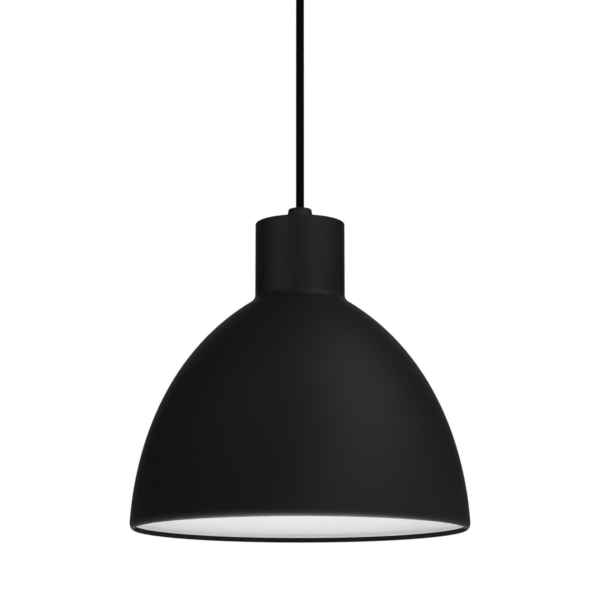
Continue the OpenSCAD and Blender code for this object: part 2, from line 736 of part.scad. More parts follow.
mounting_bracket();
bracket_earth_screw();
canopy_cup();
canopy_side_screws();
canopy_side_nuts();
ceiling_grip();
ceiling_grip_washer();
ceiling_grip_locknut();
ceiling_grip_screw();
terminal_block();
terminal_tubes();
terminal_clamp_screws();
terminal_block_screw();
canopy_earth_tag();
canopy_earth_screw();
canopy_earth_lead();
cord_tail();
upper_live_core();
upper_neutral_core();
upper_earth_core();
cord_bend();
cord();
cord_end();
cord_gland();
gland_bush();
gland_washer();
threaded_nipple();
shade();
shade_washer();
shade_earth_tag();
nipple_locknut();
lower_live_core();
lower_neutral_core();
lower_earth_core();
holder_cap();
holder_grub_screw();
holder_body();
holder_core();
holder_terminal_screws();
holder_contact();
holder_screw_shell();
bulb_tip();
bulb_insulator();
bulb_screw_cap();
bulb_housing();
bulb_globe();
led_plate();
led_chips();
driver_board();
driver_parts();
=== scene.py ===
"""Looks for the pendant ceiling light. Shapes are built in millimetres in the CAD frame, each from
its CAD node's own box, and scaled to metres when they become meshes."""

import json
from math import asin, copysign, cos, degrees, pi, radians, sin, sqrt, tan

import bmesh
import bpy
import numpy as np
from mathutils import Matrix, Vector

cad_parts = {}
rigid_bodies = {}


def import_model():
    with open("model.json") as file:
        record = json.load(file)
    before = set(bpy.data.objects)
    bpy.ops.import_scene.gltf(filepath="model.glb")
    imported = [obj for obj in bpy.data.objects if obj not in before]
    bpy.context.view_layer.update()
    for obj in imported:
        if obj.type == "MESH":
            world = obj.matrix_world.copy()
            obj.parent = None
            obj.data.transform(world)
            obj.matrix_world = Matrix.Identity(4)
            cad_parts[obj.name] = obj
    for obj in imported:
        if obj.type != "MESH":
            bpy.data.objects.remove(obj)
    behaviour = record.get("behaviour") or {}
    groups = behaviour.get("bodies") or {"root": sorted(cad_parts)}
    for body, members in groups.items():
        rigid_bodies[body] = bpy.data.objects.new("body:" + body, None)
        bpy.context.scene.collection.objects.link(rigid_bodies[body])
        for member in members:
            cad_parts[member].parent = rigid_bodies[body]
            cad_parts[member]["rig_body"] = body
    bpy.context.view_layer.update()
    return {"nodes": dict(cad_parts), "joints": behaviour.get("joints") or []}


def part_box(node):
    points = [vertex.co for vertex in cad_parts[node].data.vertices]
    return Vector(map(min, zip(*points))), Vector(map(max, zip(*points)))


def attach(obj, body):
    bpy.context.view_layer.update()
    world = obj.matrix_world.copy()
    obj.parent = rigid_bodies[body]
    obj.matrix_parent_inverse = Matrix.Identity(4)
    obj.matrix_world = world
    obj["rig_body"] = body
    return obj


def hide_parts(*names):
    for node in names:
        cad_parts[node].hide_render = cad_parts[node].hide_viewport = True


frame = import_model()
MM = 0.001


def span(node):
    """The lowest and highest corners of a CAD node's box, in millimetres."""
    lo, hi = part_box(node)
    return np.array(lo) / MM, np.array(hi) / MM


def add_object(name, data):
    o = bpy.data.objects.new(name, data)
    bpy.context.scene.collection.objects.link(o)
    return o


SHADE_LO, SHADE_HI = span("shade")
RIM = SHADE_LO[2]
CROWN = SHADE_HI[2]
CORD_LO, CORD_HI = span("cord")
CORD_R = CORD_HI[1]
PIVOT = frame["joints"][1]["pos_m"][2] / MM     # the swing's centre, inside the ceiling grip's mouth

# ======== camera

EYE_BACK = 1.5
EYE_BELOW_RIM = 0.119
EYE_TILT = 101           # degrees from looking straight down
SENSOR, LENS = 36, 122.04
camera = add_object("camera", bpy.data.cameras.new("camera"))
bpy.context.scene.camera = camera
camera.location = (0, -EYE_BACK, RIM * MM - EYE_BELOW_RIM)
camera.rotation_euler = (radians(EYE_TILT), 0, 0)
camera.data.sensor_width = SENSOR
camera.data.lens = LENS

# ======== shapes


class Shape:
    """Points and faces, with a material number for each face and a UV for each face corner."""

    def __init__(self, points, faces, kinds=None, uvs=None):
        self.points = np.array(points, float).reshape(-1, 3)
        self.faces = [tuple(f) for f in faces]
        self.kinds = list(kinds) if kinds else [0] * len(self.faces)
        self.uvs = list(uvs) if uvs else [[(0.0, 0.0)] * len(f) for f in self.faces]

    def moved(self, matrix):
        m = np.array(matrix)
        return Shape(self.points @ m[:3, :3].T + m[:3, 3], self.faces, self.kinds, self.uvs)

    def at(self, x=0.0, y=0.0, z=0.0):
        return self.moved(Matrix.Translation((x, y, z)))

    def turned(self, degrees, axis):
        return self.moved(Matrix.Rotation(radians(degrees), 4, axis))


def joined(*shapes):
    points, faces, kinds, uvs = [], [], [], []
    count = 0
    for s in shapes:
        points.append(s.points)
        faces += [tuple(i + count for i in f) for f in s.faces]
        kinds += s.kinds
        uvs += s.uvs
        count += len(s.points)
    return Shape(np.concatenate(points), faces, kinds, uvs)


def painted(shape, kind):
    return Shape(shape.points, shape.faces, [kind] * len(shape.faces), shape.uvs)


def plain_mesh(name, shape, scale=MM):
    mesh = bpy.data.meshes.new(name)
    mesh.from_pydata([tuple(p) for p in shape.points * scale], [], shape.faces)
    mesh.polygons.foreach_set("material_index", shape.kinds)
    layer = mesh.uv_layers.new(name="lay")
    layer.data.foreach_set("uv", [c for face in shape.uvs for uv in face for c in uv])
    return mesh


def to_mesh(name, shape, scale=MM):
    """A mesh of the shape, with its doubled points merged and its faces turned outwards."""
    mesh = plain_mesh(name, shape, scale)
    build = bmesh.new()
    build.from_mesh(mesh)
    bmesh.ops.remove_doubles(build, verts=build.verts, dist=2e-4 * scale)
    bmesh.ops.recalc_face_normals(build, faces=build.faces)
    build.to_mesh(mesh)
    build.free()
    mesh.update()
    return mesh


def from_mesh(mesh):
    layer = mesh.uv_layers.active
    uvs = None
    if layer:
        uvs = [[tuple(layer.data[i].uv) for i in p.loop_indices] for p in mesh.polygons]
    return Shape([v.co for v in mesh.vertices], [tuple(p.vertices) for p in mesh.polygons],
                 [p.material_index for p in mesh.polygons], uvs)


def evaluated(o):
    """The shape of an object with its modifiers applied. The object itself is removed."""
    bpy.context.view_layer.update()
    mesh = bpy.data.meshes.new_from_object(o.evaluated_get(bpy.context.evaluated_depsgraph_get()))
    bpy.data.objects.remove(o)
    return from_mesh(mesh)


def cut(shape, *cutters):
    """The shape with each cutter taken out of it. A cut's walls keep the cutter's material number."""
    kinds = max(shape.kinds + [k for c in cutters for k in c.kinds]) + 1
    slots = [bpy.data.materials.new(f"slot{k}") for k in range(kinds)]
    made = []
    for s in (shape, *cutters):
        made.append(add_object("cut", to_mesh("cut", s, 1.0)))
        for m in slots:
            made[-1].data.materials.append(m)
    for cutter in made[1:]:
        step = made[0].modifiers.new("cut", "BOOLEAN")
        step.operation = "DIFFERENCE"
        step.solver = "EXACT"
        step.object = cutter
    result = evaluated(made[0])
    for o in made[1:]:
        bpy.data.objects.remove(o)
    for m in slots:
        bpy.data.materials.remove(m)
    return result


def rounded(outline, radius, steps=4):
    """A closed outline with its corners rounded. radius is one number, or one for each corner."""
    n = len(outline)
    radii = radius if isinstance(radius, (list, tuple)) else [radius] * n
    result = []
    for i, corner in enumerate(outline):
        here, before, after = (np.array(outline[k % n], float) for k in (i, i - 1, i + 1))
        reach_b, reach_a = np.linalg.norm(before - here), np.linalg.norm(after - here)
        r = min(radii[i], 0.48 * reach_b, 0.48 * reach_a)
        if r < 1e-4:
            result.append(tuple(here))
            continue
        a, b = here + (before - here) / reach_b * r, here + (after - here) / reach_a * r
        for k in range(steps + 1):
            t = k / steps
            result.append(tuple((1 - t) ** 2 * a + 2 * (1 - t) * t * here + t * t * b))
    return result


def oval(x, y, wide, high, start, end, steps):
    """Points on an upright ellipse, between two angles in degrees."""
    turn = [radians(start + (end - start) * k / steps) for k in range(steps + 1)]
    return [(x + wide * cos(a), y + high * sin(a)) for a in turn]


def arc(x, y, r, start, end, steps=8):
    return oval(x, y, r, r, start, end, steps)


def circle(x, y, r, steps=48):
    return arc(x, y, r, 0, 360 - 360 / steps, steps - 1)


def box_line(x0, y0, x1, y1):
    return [(x0, y0), (x1, y0), (x1, y1), (x0, y1)]


def cubic(corners, t):
    """A point on the curve that four control points give."""
    a, b, c, d = corners
    return (1 - t) ** 3 * a + 3 * (1 - t) ** 2 * t * b + 3 * (1 - t) * t * t * c + t ** 3 * d


def ladder(r, low, high, step):
    """Points up a straight side, close enough together to carry a thread."""
    count = max(2, round(abs(high - low) / step))
    return [(r, low + (high - low) * k / count) for k in range(count + 1)]


def lengths_along(line):
    """How far along a line each of its points is."""
    return np.cumsum([0] + [np.linalg.norm(b - a) for a, b in zip(line, line[1:])])


def spin(profile, sides=96, warp=None, kinds=None):
    """Turns a closed outline of (radius, height) about Z. warp(radius, height, angle) moves points."""
    n = len(profile)
    points = []
    for k in range(sides):
        a = 2 * pi * k / sides
        for r, z in profile:
            if warp:
                r, z = warp(r, z, a)
            points.append((r * cos(a), r * sin(a), z))
    along = lengths_along([np.array(p) for p in profile + profile[:1]])
    faces, numbers, uvs = [], [], []
    for k in range(sides):
        for i in range(n):
            p, q = profile[i], profile[(i + 1) % n]
            if p[0] == 0 and q[0] == 0:
                continue
            j, after = (i + 1) % n, (k + 1) % sides
            corners = [(k * n + i, k, i), (after * n + i, k + 1, i),
                       (after * n + j, k + 1, i + 1), (k * n + j, k, i + 1)]
            if p[0] == 0:
                corners.pop(1)
            elif q[0] == 0:
                corners.pop(2)
            faces.append([c[0] for c in corners])
            uvs.append([(c[1] / sides, along[c[2]]) for c in corners])
            numbers.append(kinds[i] if kinds else 0)
    return Shape(points, faces, numbers, uvs)


def helix(z, pitch, a):
    """The depth of a right-hand thread, from 0 at its crest to 1 at its root."""
    return 0.5 - 0.5 * cos(2 * pi * z / pitch - a)


def threaded(radius, depth, pitch, low, high):
    """A warp that cuts a thread in the wall at this radius, fading out at both ends."""
    def warp(r, z, a):
        if abs(r - radius) > 1e-6 or not low <= z <= high:
            return r, z
        fade = min(1.0, (z - low) / pitch, (high - z) / pitch)
        return r - depth * helix(z, pitch, a) * max(fade, 0.0), z
    return warp


def hexagon(half, a):
    """How far a hexagon's side is from its centre at an angle, from half its width across flats."""
    return half / cos((a + pi / 6) % (pi / 3) - pi / 6)


def ring(outer, inner, low, high, edge=0.12, sides=64):
    return spin(rounded(box_line(inner, low, outer, high), edge, 3), sides)


def hex_nut(flat, bore, height, pitch):
    """A hexagon nut with chamfered corners and a threaded bore, its base at z = 0."""
    half = flat / 2
    corner = half / cos(pi / 6)
    profile = ([(bore + 0.3, 0), (half - 0.2, 0), (corner, 0.0), (corner, height),
                (half - 0.2, height), (bore + 0.3, height)] + ladder(bore, height - 0.35, 0.35, pitch / 6))
    cut_thread = threaded(bore, 0.06 * pitch, pitch, 0.0, height)

    def warp(r, z, a):
        if r < half - 0.3:
            return cut_thread(r, z, a)
        if r < corner:
            return r, z
        r = hexagon(half, a)
        drop = max(r - half + 0.2, 0) * tan(radians(28))
        return r, min(max(z, drop), height - drop)
    return spin(profile, 72, warp)


def upright(outline, holes, y, thickness, edge):
    """A plate that stands in the XZ plane, its far face at y + thickness."""
    return plate(outline, holes, 0, thickness, edge).turned(90, "X").at(y=y)


def screw_slot(width, depth, top, reach):
    """A cutter for a screwdriver slot across the top of a screw head."""
    return block(-reach, -width / 2, top - depth, reach, width / 2, top + 1)


def block(x0, y0, z0, x1, y1, z1):
    points = [(x, y, z) for x in (x0, x1) for y in (y0, y1) for z in (z0, z1)]
    return Shape(points, [(0, 1, 3, 2), (4, 6, 7, 5), (0, 4, 5, 1), (2, 3, 7, 6), (0, 2, 6, 4), (1, 5, 7, 3)])


def rod(r, low, high, sides=48):
    """A plain round cutter."""
    return spin([(0, low), (r, low), (r, high), (0, high)], sides)


M3_R, M3_PITCH, M4_R, M4_PITCH = 1.5, 0.5, 2.0, 0.7


def pan_screw(r, length, head_r, head_h, pitch):
    """A slotted pan-head screw with its head above z = 0 and a threaded shank below."""
    dome = arc(head_r - head_h / 2, head_h / 2, head_h / 2, 0, 90, 6)
    profile = ([(0, -length), (r - 0.35, -length)] + ladder(r, -length + 0.35, -0.05, pitch / 8)
               + [(head_r - 0.08, 0), (head_r, 0.12)] + dome + [(0, head_h)])
    body = spin(profile, 48, threaded(r, 0.5 * pitch, pitch, -length + 0.3, -0.1))
    return cut(body, screw_slot(head_r / 4, head_h * 0.45, head_h, head_r + 1))


def grub(r, length, pitch):
    """A slotted grub screw from z = 0 to its length, with a cup point at the bottom."""
    profile = ([(0, 0.25), (r * 0.4, 0.0), (r * 0.6, 0.0)]
               + ladder(r, 0.4, length - 0.25, pitch / 8) + [(r - 0.25, length), (0, length)])
    body = spin(profile, 40, threaded(r, 0.5 * pitch, pitch, 0.35, length - 0.2))
    return cut(body, screw_slot(0.5, 0.8, length, r + 1))


def plate(outline, holes, top, thickness, edge=0.12):
    """A flat plate with softened edges, from closed outlines of (x, y), its upper face at top."""
    curve = bpy.data.curves.new("plate", "CURVE")
    curve.dimensions = "2D"
    curve.fill_mode = "BOTH"
    for line, way in [(outline, 1)] + [(h, -1) for h in holes]:
        area = sum(a[0] * b[1] - b[0] * a[1] for a, b in zip(line, line[1:] + line[:1]))
        if area * way < 0:
            line = line[::-1]
        spline = curve.splines.new("POLY")
        spline.points.add(len(line) - 1)
        spline.points.foreach_set("co", [c for p in line for c in (p[0], p[1], 0.0, 1.0)])
        spline.use_cyclic_u = True
    curve.extrude = thickness / 2 - edge
    curve.bevel_depth = edge
    curve.bevel_resolution = 2
    curve.offset = -edge
    return evaluated(add_object("plate", curve)).at(0, 0, top - thickness / 2)


def smooth_path(points):
    """A smooth line through the points."""
    steps = 7
    p = [np.array(q, float) for q in points]
    p = [2 * p[0] - p[1]] + p + [2 * p[-1] - p[-2]]
    line = []
    for i in range(1, len(p) - 2):
        a, b, c, d = p[i - 1:i + 3]
        for k in range(steps):
            t = k / steps
            line.append(0.5 * (2 * b + (c - a) * t + (2 * a - 5 * b + 4 * c - d) * t * t
                               + (3 * b - a - 3 * c + d) * t ** 3))
    return line + [p[-2]]


def ways_along(line):
    """The direction of a line at each of its points."""
    ways = [line[min(i + 1, len(line) - 1)] - line[max(i - 1, 0)] for i in range(len(line))]
    return [w / np.linalg.norm(w) for w in ways]


def sleeve(along, sides, around):
    """Faces and UVs for rings of points these lengths along a sleeve, with a face over each end."""
    faces, uvs = [], []
    rows = len(along) - 1
    for m in range(rows):
        for k in range(sides):
            n = (k + 1) % sides
            faces.append((m * sides + k, (m + 1) * sides + k, (m + 1) * sides + n, m * sides + n))
            u0, u1 = around * k / sides, around * (k + 1) / sides
            uvs.append([(u0, along[m]), (u0, along[m + 1]), (u1, along[m + 1]), (u1, along[m])])
    for m in (0, rows):
        faces.append(tuple(range(m * sides, (m + 1) * sides)))
        uvs.append([(0.0, 0.0)] * sides)
    return faces, uvs


def tube(line, radii, kinds):
    """A round tube along a line, with rounded ends. UVs run round it and along it in millimetres."""
    sides, tip = 24, 0.12
    ways = ways_along(line)

    def end_ring(i, inwards, a):
        return (line[i] + inwards * ways[i] * tip * (1 - sin(a)),
                radii[i] - tip * (1 - cos(a)), ways[i])
    turns = (pi / 2, pi / 4, 0)
    rings = ([end_ring(0, 1, a) for a in turns] + list(zip(line, radii, ways))[1:-1]
             + [end_ring(-1, -1, a) for a in turns[::-1]])
    side = np.cross(rings[0][2], (0.3, 0.5, 0.8))
    points = []
    for centre, r, way in rings:
        side = side - way * np.dot(side, way)
        side = side / np.linalg.norm(side)
        other = np.cross(way, side)
        points += [centre + r * (cos(a) * side + sin(a) * other)
                   for a in (2 * pi * k / sides for k in range(sides))]
    faces, uvs = sleeve(lengths_along([ring[0] for ring in rings]), sides, 1)
    numbers = [kinds[0]] * 3 + kinds[1:-1] + [kinds[-1]] * 3
    marks = [numbers[min(i, len(numbers) - 1)] for i in range(len(rings) - 1) for k in range(sides)]
    return Shape(points, faces, marks + [kinds[0], kinds[-1]], uvs)


YARNS = 12           # carriers of the braid in each direction
WEAVE = 0.06         # how far a yarn rises and falls, mm
YARN_ROUND = 0.13    # height of a yarn's own round section, mm
BRAID_R = CORD_R + 0.04


def braid(low, high, radius):
    """A braided cover between two heights, and for each point its yarn direction and its height."""
    sides, step = 96, 0.21
    rows = max(4, round((high - low) / step))
    z = np.linspace(high, low, rows + 1)[:, None]
    a = np.linspace(0, 2 * pi, sides, endpoint=False)[None, :]
    pitch = 2 * pi * radius / YARNS
    yarns = {way: YARNS * a / (2 * pi) + way * z / pitch for way in (1, -1)}
    rise = {}
    for way, place in yarns.items():
        number = np.floor(place)
        weave = way * WEAVE * (-1.0) ** number * np.cos(pi * (yarns[-way] - 0.5))
        rise[way] = weave + YARN_ROUND * np.sqrt(np.maximum(1 - (2 * (place - number) - 1) ** 2, 0))
    height = np.maximum(rise[1], rise[-1])
    r = radius - WEAVE - YARN_ROUND + height
    points = np.stack([r * np.cos(a), r * np.sin(a), z + 0 * r], -1).reshape(-1, 3)
    on_top = (rise[1] > rise[-1]).astype(float).ravel()
    level = ((height + WEAVE) / (2 * WEAVE + YARN_ROUND)).ravel()
    faces, uvs = sleeve(z[:, 0], sides, 2 * pi * radius)
    return Shape(points, faces, None, uvs), on_top, level


# ======== materials


class Nodes:
    """Short ways to add and link a material's nodes."""

    def __init__(self, name):
        self.material = bpy.data.materials.new(name)
        self.material.use_nodes = True
        self.tree = self.material.node_tree
        self.shader = self.tree.nodes["Principled BSDF"]

    def add(self, kind, inputs=None, **values):
        """A node with these properties, each input a constant or the socket that it is linked to."""
        node = self.tree.nodes.new("ShaderNode" + kind)
        for key, value in values.items():
            setattr(node, key, value)
        for key, value in (inputs or {}).items():
            if isinstance(value, bpy.types.NodeSocket):
                self.link(value, node.inputs[key])
            else:
                node.inputs[key].default_value = value
        return node

    def link(self, out, into):
        self.tree.links.new(out, into)

    def noise(self, vector, scale, detail=3.0, rough=0.55):
        return self.add("TexNoise", {"Scale": scale, "Detail": detail, "Roughness": rough,
                                     "Vector": vector}).outputs["Fac"]

    def mapped(self, value, low, high, start=0.3, end=0.7):
        return self.add("MapRange", {"From Min": start, "From Max": end, "To Min": low, "To Max": high,
                                     "Value": value}).outputs["Result"]

    def mixed(self, factor, a, b):
        """A colour between a and b, each a colour or a socket."""
        a, b = ((*c, 1.0) if isinstance(c, tuple) else c for c in (a, b))
        return self.add("Mix", {0: factor, 6: a, 7: b}, data_type="RGBA").outputs[2]

    def math(self, operation, a, b=0.0):
        return self.add("Math", {0: a, 1: b}, operation=operation).outputs[0]

    def bump(self, height, distance, before=None):
        node = self.add("Bump", {"Strength": 1.0, "Distance": distance, "Height": height})
        if before is not None:
            self.link(before, node.inputs["Normal"])
        return node.outputs["Normal"]

    def finished(self, colour, rough, relief):
        for value, socket in ((colour, "Base Color"), (rough, "Roughness"), (relief, "Normal")):
            self.link(value, self.shader.inputs[socket])
        return self.material

    def object_space(self, stretch=(1, 1, 1)):
        node = self.add("Mapping", {"Scale": stretch})
        self.link(self.add("TexCoord").outputs["Object"], node.inputs["Vector"])
        return node.outputs["Vector"]


def surface(name, colour, rough, metal=0.0, other=None, patch=60.0, grain=1500.0, relief=8e-6,
            spread=0.05, stretch=(1, 1, 1), **constants):
    """A material whose colour drifts in patches, with a fine grain in its roughness and relief."""
    n = Nodes(name)
    other = other or tuple(c * 0.86 for c in colour)
    where = n.object_space(stretch)
    patches = n.noise(where, patch, 4.0)
    fine = n.noise(where, grain, 3.0)
    n.shader.inputs["Metallic"].default_value = metal
    for key, value in constants.items():
        n.shader.inputs[key.replace("_", " ").title().replace("Ior", "IOR")].default_value = value
    return n.finished(n.mixed(n.mapped(patches, 0.0, 1.0), colour, other),
                      n.mapped(patches, rough - spread, rough + spread), n.bump(fine, relief))


def sprayed(name, light, dark, patch, peel, height, rough, grain=None):
    """Sprayed paint: a low orange peel of this height, with a finer grain on it where one is given."""
    n = Nodes(name)
    where = n.object_space()
    patches = n.noise(where, patch, 3.0)
    peel = n.noise(where, peel, 2.0)
    fine = n.noise(where, grain, 2.0) if grain else peel
    colour = n.mixed(n.mapped(patches, 0.0, 1.0), light, dark)
    gloss = n.mapped(fine, *rough)
    relief = n.bump(peel, height)
    return n.finished(colour, gloss, n.bump(fine, 4e-6, relief) if grain else relief)


def textile():
    """Black braid: each yarn's filaments run along it, and painted shade darkens the valleys between yarns.
    """
    n = Nodes("black_braid")
    lay = n.add("TexCoord").outputs["UV"]
    strands = []
    for turn in (-45, 45):
        rotated = n.add("VectorRotate", {"Angle": radians(turn), "Vector": lay},
                        rotation_type="Z_AXIS").outputs["Vector"]
        stretched = n.add("Mapping", {"Scale": (0.6, 9.0, 1.0), "Vector": rotated}).outputs["Vector"]
        strands.append(n.noise(stretched, 1.0, 3.0))
    on_top = n.add("Attribute", attribute_name="yarn").outputs["Fac"]
    level = n.add("Attribute", attribute_name="level").outputs["Fac"]
    fibre = n.add("Mix", {0: on_top, 2: strands[0], 3: strands[1]}, data_type="FLOAT").outputs[0]
    tone = n.mixed(n.mapped(fibre, 0.0, 1.0), (0.0016, 0.0016, 0.0018), (0.0042, 0.0042, 0.0045))
    n.shader.inputs["Specular IOR Level"].default_value = 0.15
    # Painted shade: where the braid's height is low, between yarns, the colour goes near black.
    return n.finished(n.mixed(n.mapped(level, 0.0, 1.0, 0.15, 0.8), (0.0006, 0.0006, 0.0007), tone),
                      n.mapped(fibre, 0.72, 0.9), n.bump(fibre, 6e-5))


def earth_insulation():
    """Green insulation with two yellow stripes along it."""
    n = Nodes("earth_insulation")
    parts = n.add("SeparateXYZ")
    n.link(n.add("TexCoord").outputs["UV"], parts.inputs["Vector"])
    wobble = n.noise(n.object_space(), 300.0, 2.0)
    turn = n.math("FRACT", n.math("MULTIPLY", n.math("ADD", parts.outputs["X"],
                                                     n.math("MULTIPLY", wobble, 0.05)), 2.0))
    stripe = n.math("LESS_THAN", turn, 0.36)
    return n.finished(n.mixed(stripe, (0.025, 0.20, 0.035), (0.62, 0.52, 0.03)),
                      n.mapped(wobble, 0.34, 0.44), n.bump(wobble, 1e-5))


def circuit_board():
    """Green solder mask over tracks, with small bright pads."""
    n = Nodes("circuit_board")
    where = n.object_space()
    cells = []
    for feature, scale in (("DISTANCE_TO_EDGE", 420.0), ("F1", 380.0)):
        cell = n.add("TexVoronoi", {"Scale": scale, "Vector": where}, feature=feature)
        cells.append(cell.outputs["Distance"])
    line = n.math("LESS_THAN", cells[0], 0.08)
    pad = n.math("LESS_THAN", cells[1], 0.22)
    mask = n.mixed(line, (0.012, 0.10, 0.035), (0.03, 0.20, 0.07))
    colour = n.mixed(pad, mask, (0.60, 0.60, 0.58))
    n.link(n.math("MULTIPLY", pad, 0.9), n.shader.inputs["Metallic"])
    return n.finished(colour, n.mapped(n.noise(where, 900.0), 0.32, 0.45), n.bump(line, 3e-5))


ALONG_Z = (1, 1, 0.04)     # stretches a grain along Z
ROUND_Z = (0.05, 0.05, 1)  # stretches it round Z, as turning leaves it
BLACK = sprayed("black_powder_coat", (0.0150, 0.0150, 0.0154), (0.0132, 0.0132, 0.0135), 25.0, 620.0,
                3e-5, (0.50, 0.60), 3200.0)
WHITE = sprayed("satin_white_inside", (0.83, 0.83, 0.82), (0.80, 0.80, 0.795), 18.0, 500.0, 2.5e-5,
                (0.42, 0.52))
BRAID = textile()
EARTH = earth_insulation()
BOARD = circuit_board()
NYLON = surface("black_nylon", (0.0145, 0.0145, 0.015), 0.56, grain=2600, relief=1.6e-5,
                other=(0.019, 0.019, 0.0195))
MATT_EDGE = surface("matt_black_edge", (0.010, 0.010, 0.0102), 0.85, grain=2600, relief=1e-5,
                    specular_ior_level=0.08)
RUBBER = surface("black_rubber", (0.010, 0.010, 0.010), 0.78, grain=1800, relief=2e-5)
ZINC = surface("zinc_plated_steel", (0.60, 0.61, 0.64), 0.36, 1.0, (0.66, 0.64, 0.58), 45, 1400, 8e-6,
               0.08)
BRASS = surface("brass", (0.76, 0.57, 0.27), 0.30, 1.0, (0.66, 0.45, 0.20), 55, 1600, 6e-6, 0.08)
TURNED_BRASS = surface("turned_brass", (0.78, 0.60, 0.29), 0.26, 1.0, (0.70, 0.50, 0.23), 60, 2500,
                       1e-5, 0.07, ROUND_Z)
BLOCK_NYLON = surface("white_nylon", (0.80, 0.79, 0.74), 0.42, 0.0, (0.74, 0.72, 0.66), 30, 900, 1.5e-5,
                      subsurface_weight=0.05, subsurface_radius=(1, 1, 1), subsurface_scale=0.001)
LIVE = surface("live_insulation", (0.13, 0.052, 0.022), 0.40, other=(0.105, 0.042, 0.018), relief=1e-5)
NEUTRAL = surface("neutral_insulation", (0.022, 0.085, 0.38), 0.40, other=(0.018, 0.07, 0.31),
                  relief=1e-5)
COPPER = surface("bare_copper", (0.72, 0.36, 0.20), 0.33, 1.0, (0.62, 0.28, 0.15), 200, 5000, 2e-5, 0.06,
                 ALONG_Z)
HOLDER = surface("holder_plastic", (0.018, 0.018, 0.019), 0.33, other=(0.014, 0.014, 0.015), grain=1100,
                 relief=1.2e-5)
CERAMIC = surface("ceramic", (0.84, 0.82, 0.76), 0.55, 0.0, (0.76, 0.73, 0.66), 90, 1500, 3e-5)
SOLDER = surface("solder_alloy", (0.50, 0.50, 0.50), 0.50, 1.0, (0.40, 0.40, 0.41), 300, 1500, 3e-5, 0.1)
BLACK_GLASS = surface("black_glass", (0.008, 0.007, 0.012), 0.12, 0.0, (0.012, 0.010, 0.016), 200, 900,
                      6e-6, 0.03, coat_weight=0.3)
NICKEL = surface("nickel_plate", (0.70, 0.68, 0.63), 0.24, 1.0, (0.60, 0.57, 0.50), 60, 2400, 8e-6, 0.07,
                 ROUND_Z)
WHITE_PLASTIC = surface("white_plastic", (0.82, 0.82, 0.80), 0.38, 0.0, (0.79, 0.79, 0.765), 20, 1200,
                        8e-6)
OPAL = surface("opal_diffuser", (0.88, 0.88, 0.86), 0.30, 0.0, (0.86, 0.86, 0.835), 16, 700, 6e-6,
               0.03, subsurface_weight=0.25, subsurface_radius=(1, 1, 1), subsurface_scale=0.003)
LED_METAL = surface("led_aluminium", (0.80, 0.80, 0.79), 0.35, 0.0, (0.76, 0.76, 0.75), 80, 1200, 8e-6)
PHOSPHOR = surface("led_phosphor", (0.86, 0.62, 0.10), 0.28, 0.0, (0.80, 0.54, 0.07), 700, 3000, 1e-5)
PARTS = surface("component_plastic", (0.022, 0.022, 0.024), 0.35, 0.0, (0.016, 0.016, 0.018), 200, 1500,
                1e-5)

# ======== pieces

SHARP = radians(34)


def shown(mesh, nodes, materials):
    """Shows a mesh as a piece that stands for CAD nodes and rides on the body of the first of them."""
    for m in materials:
        mesh.materials.append(m)
    mesh.shade_smooth()
    o = add_object(mesh.name, mesh)
    nodes = nodes.split()
    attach(o, frame["nodes"][nodes[0]]["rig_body"])
    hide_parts(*nodes)
    return o


def piece(name, nodes, shape, *materials, slot=None):
    """Makes a shape into a shown piece, painted with its materials in the order of their numbers."""
    mesh = to_mesh(name, shape)
    shown(mesh, nodes, materials)
    mesh.set_sharp_from_angle(angle=SHARP)


def braided(name, nodes, low, high):
    """A straight length of the braided cord."""
    shape, on_top, level = braid(low, high, BRAID_R)
    mesh = plain_mesh(name, shape)
    for key, values in (("yarn", on_top), ("level", level)):
        mesh.attributes.new(key, "FLOAT", "POINT").data.foreach_set("value", values.astype(np.float32))
    return shown(mesh, nodes, [BRAID])


# Cord. It starts at the swing's centre, so that it also stands for the bend in the grip's mouth.
flex = braided("braided_cord", "cord cord_bend", CORD_LO[2], PIVOT)
tail_lo, tail_hi = span("cord_tail")
braided("cord_tail_braid", "cord_tail", tail_lo[2], tail_hi[2])
end_lo, end_hi = span("cord_end")
braided("cord_end_braid", "cord_end", end_lo[2], end_hi[2])

# Shade: one spun sheet, black outside and white inside. Its rim curls under and is rolled over
# inwards, and the black coat that goes round the roll's edge is matt.
SHADE_R = SHADE_HI[0]
WALL, CROWN_T = 1.0, 1.5
BEAD_H, BEAD_T, BEAD_ROUND = 3.9, 3.2, 1.2     # the black roll inside the rim
LIP_H, LIP_IN = 5.2, 2.6       # how high and how far in the lip curls under
NECK_R, NECK_EDGE, NECK_BLEND, CROWN_HOLE, INNER_ROUND = 33.7, 0.8, 4.0, 5.2, 1.2
DOME = [np.array(p) for p in ((SHADE_R, LIP_H), (SHADE_R - 4, 72.0), (93.0, 134.0), (38.4, 169.0))]


def dome_way(t):
    a, b, c, d = DOME
    way = (1 - t) ** 2 * (b - a) + 2 * (1 - t) * t * (c - b) + t * t * (d - c)
    return way / np.linalg.norm(way)


def wall_line(inset, steps=72):
    """The dome and its blend into the neck, moved inwards, from the rim up."""
    line = []
    for k in range(steps + 1):
        way = dome_way(k / steps)
        line.append(cubic(DOME, k / steps) + inset * np.array([-way[1], way[0]]))
    way, start = dome_way(1), line[-1]
    meet = start + way * ((NECK_R - inset - start[0]) / way[0])
    end = np.array([NECK_R - inset, meet[1] + NECK_BLEND + inset])
    for k in range(1, 13):
        t = k / 12
        line.append((1 - t) ** 2 * start + 2 * (1 - t) * t * meet + t * t * end)
    return [tuple(p) for p in line]


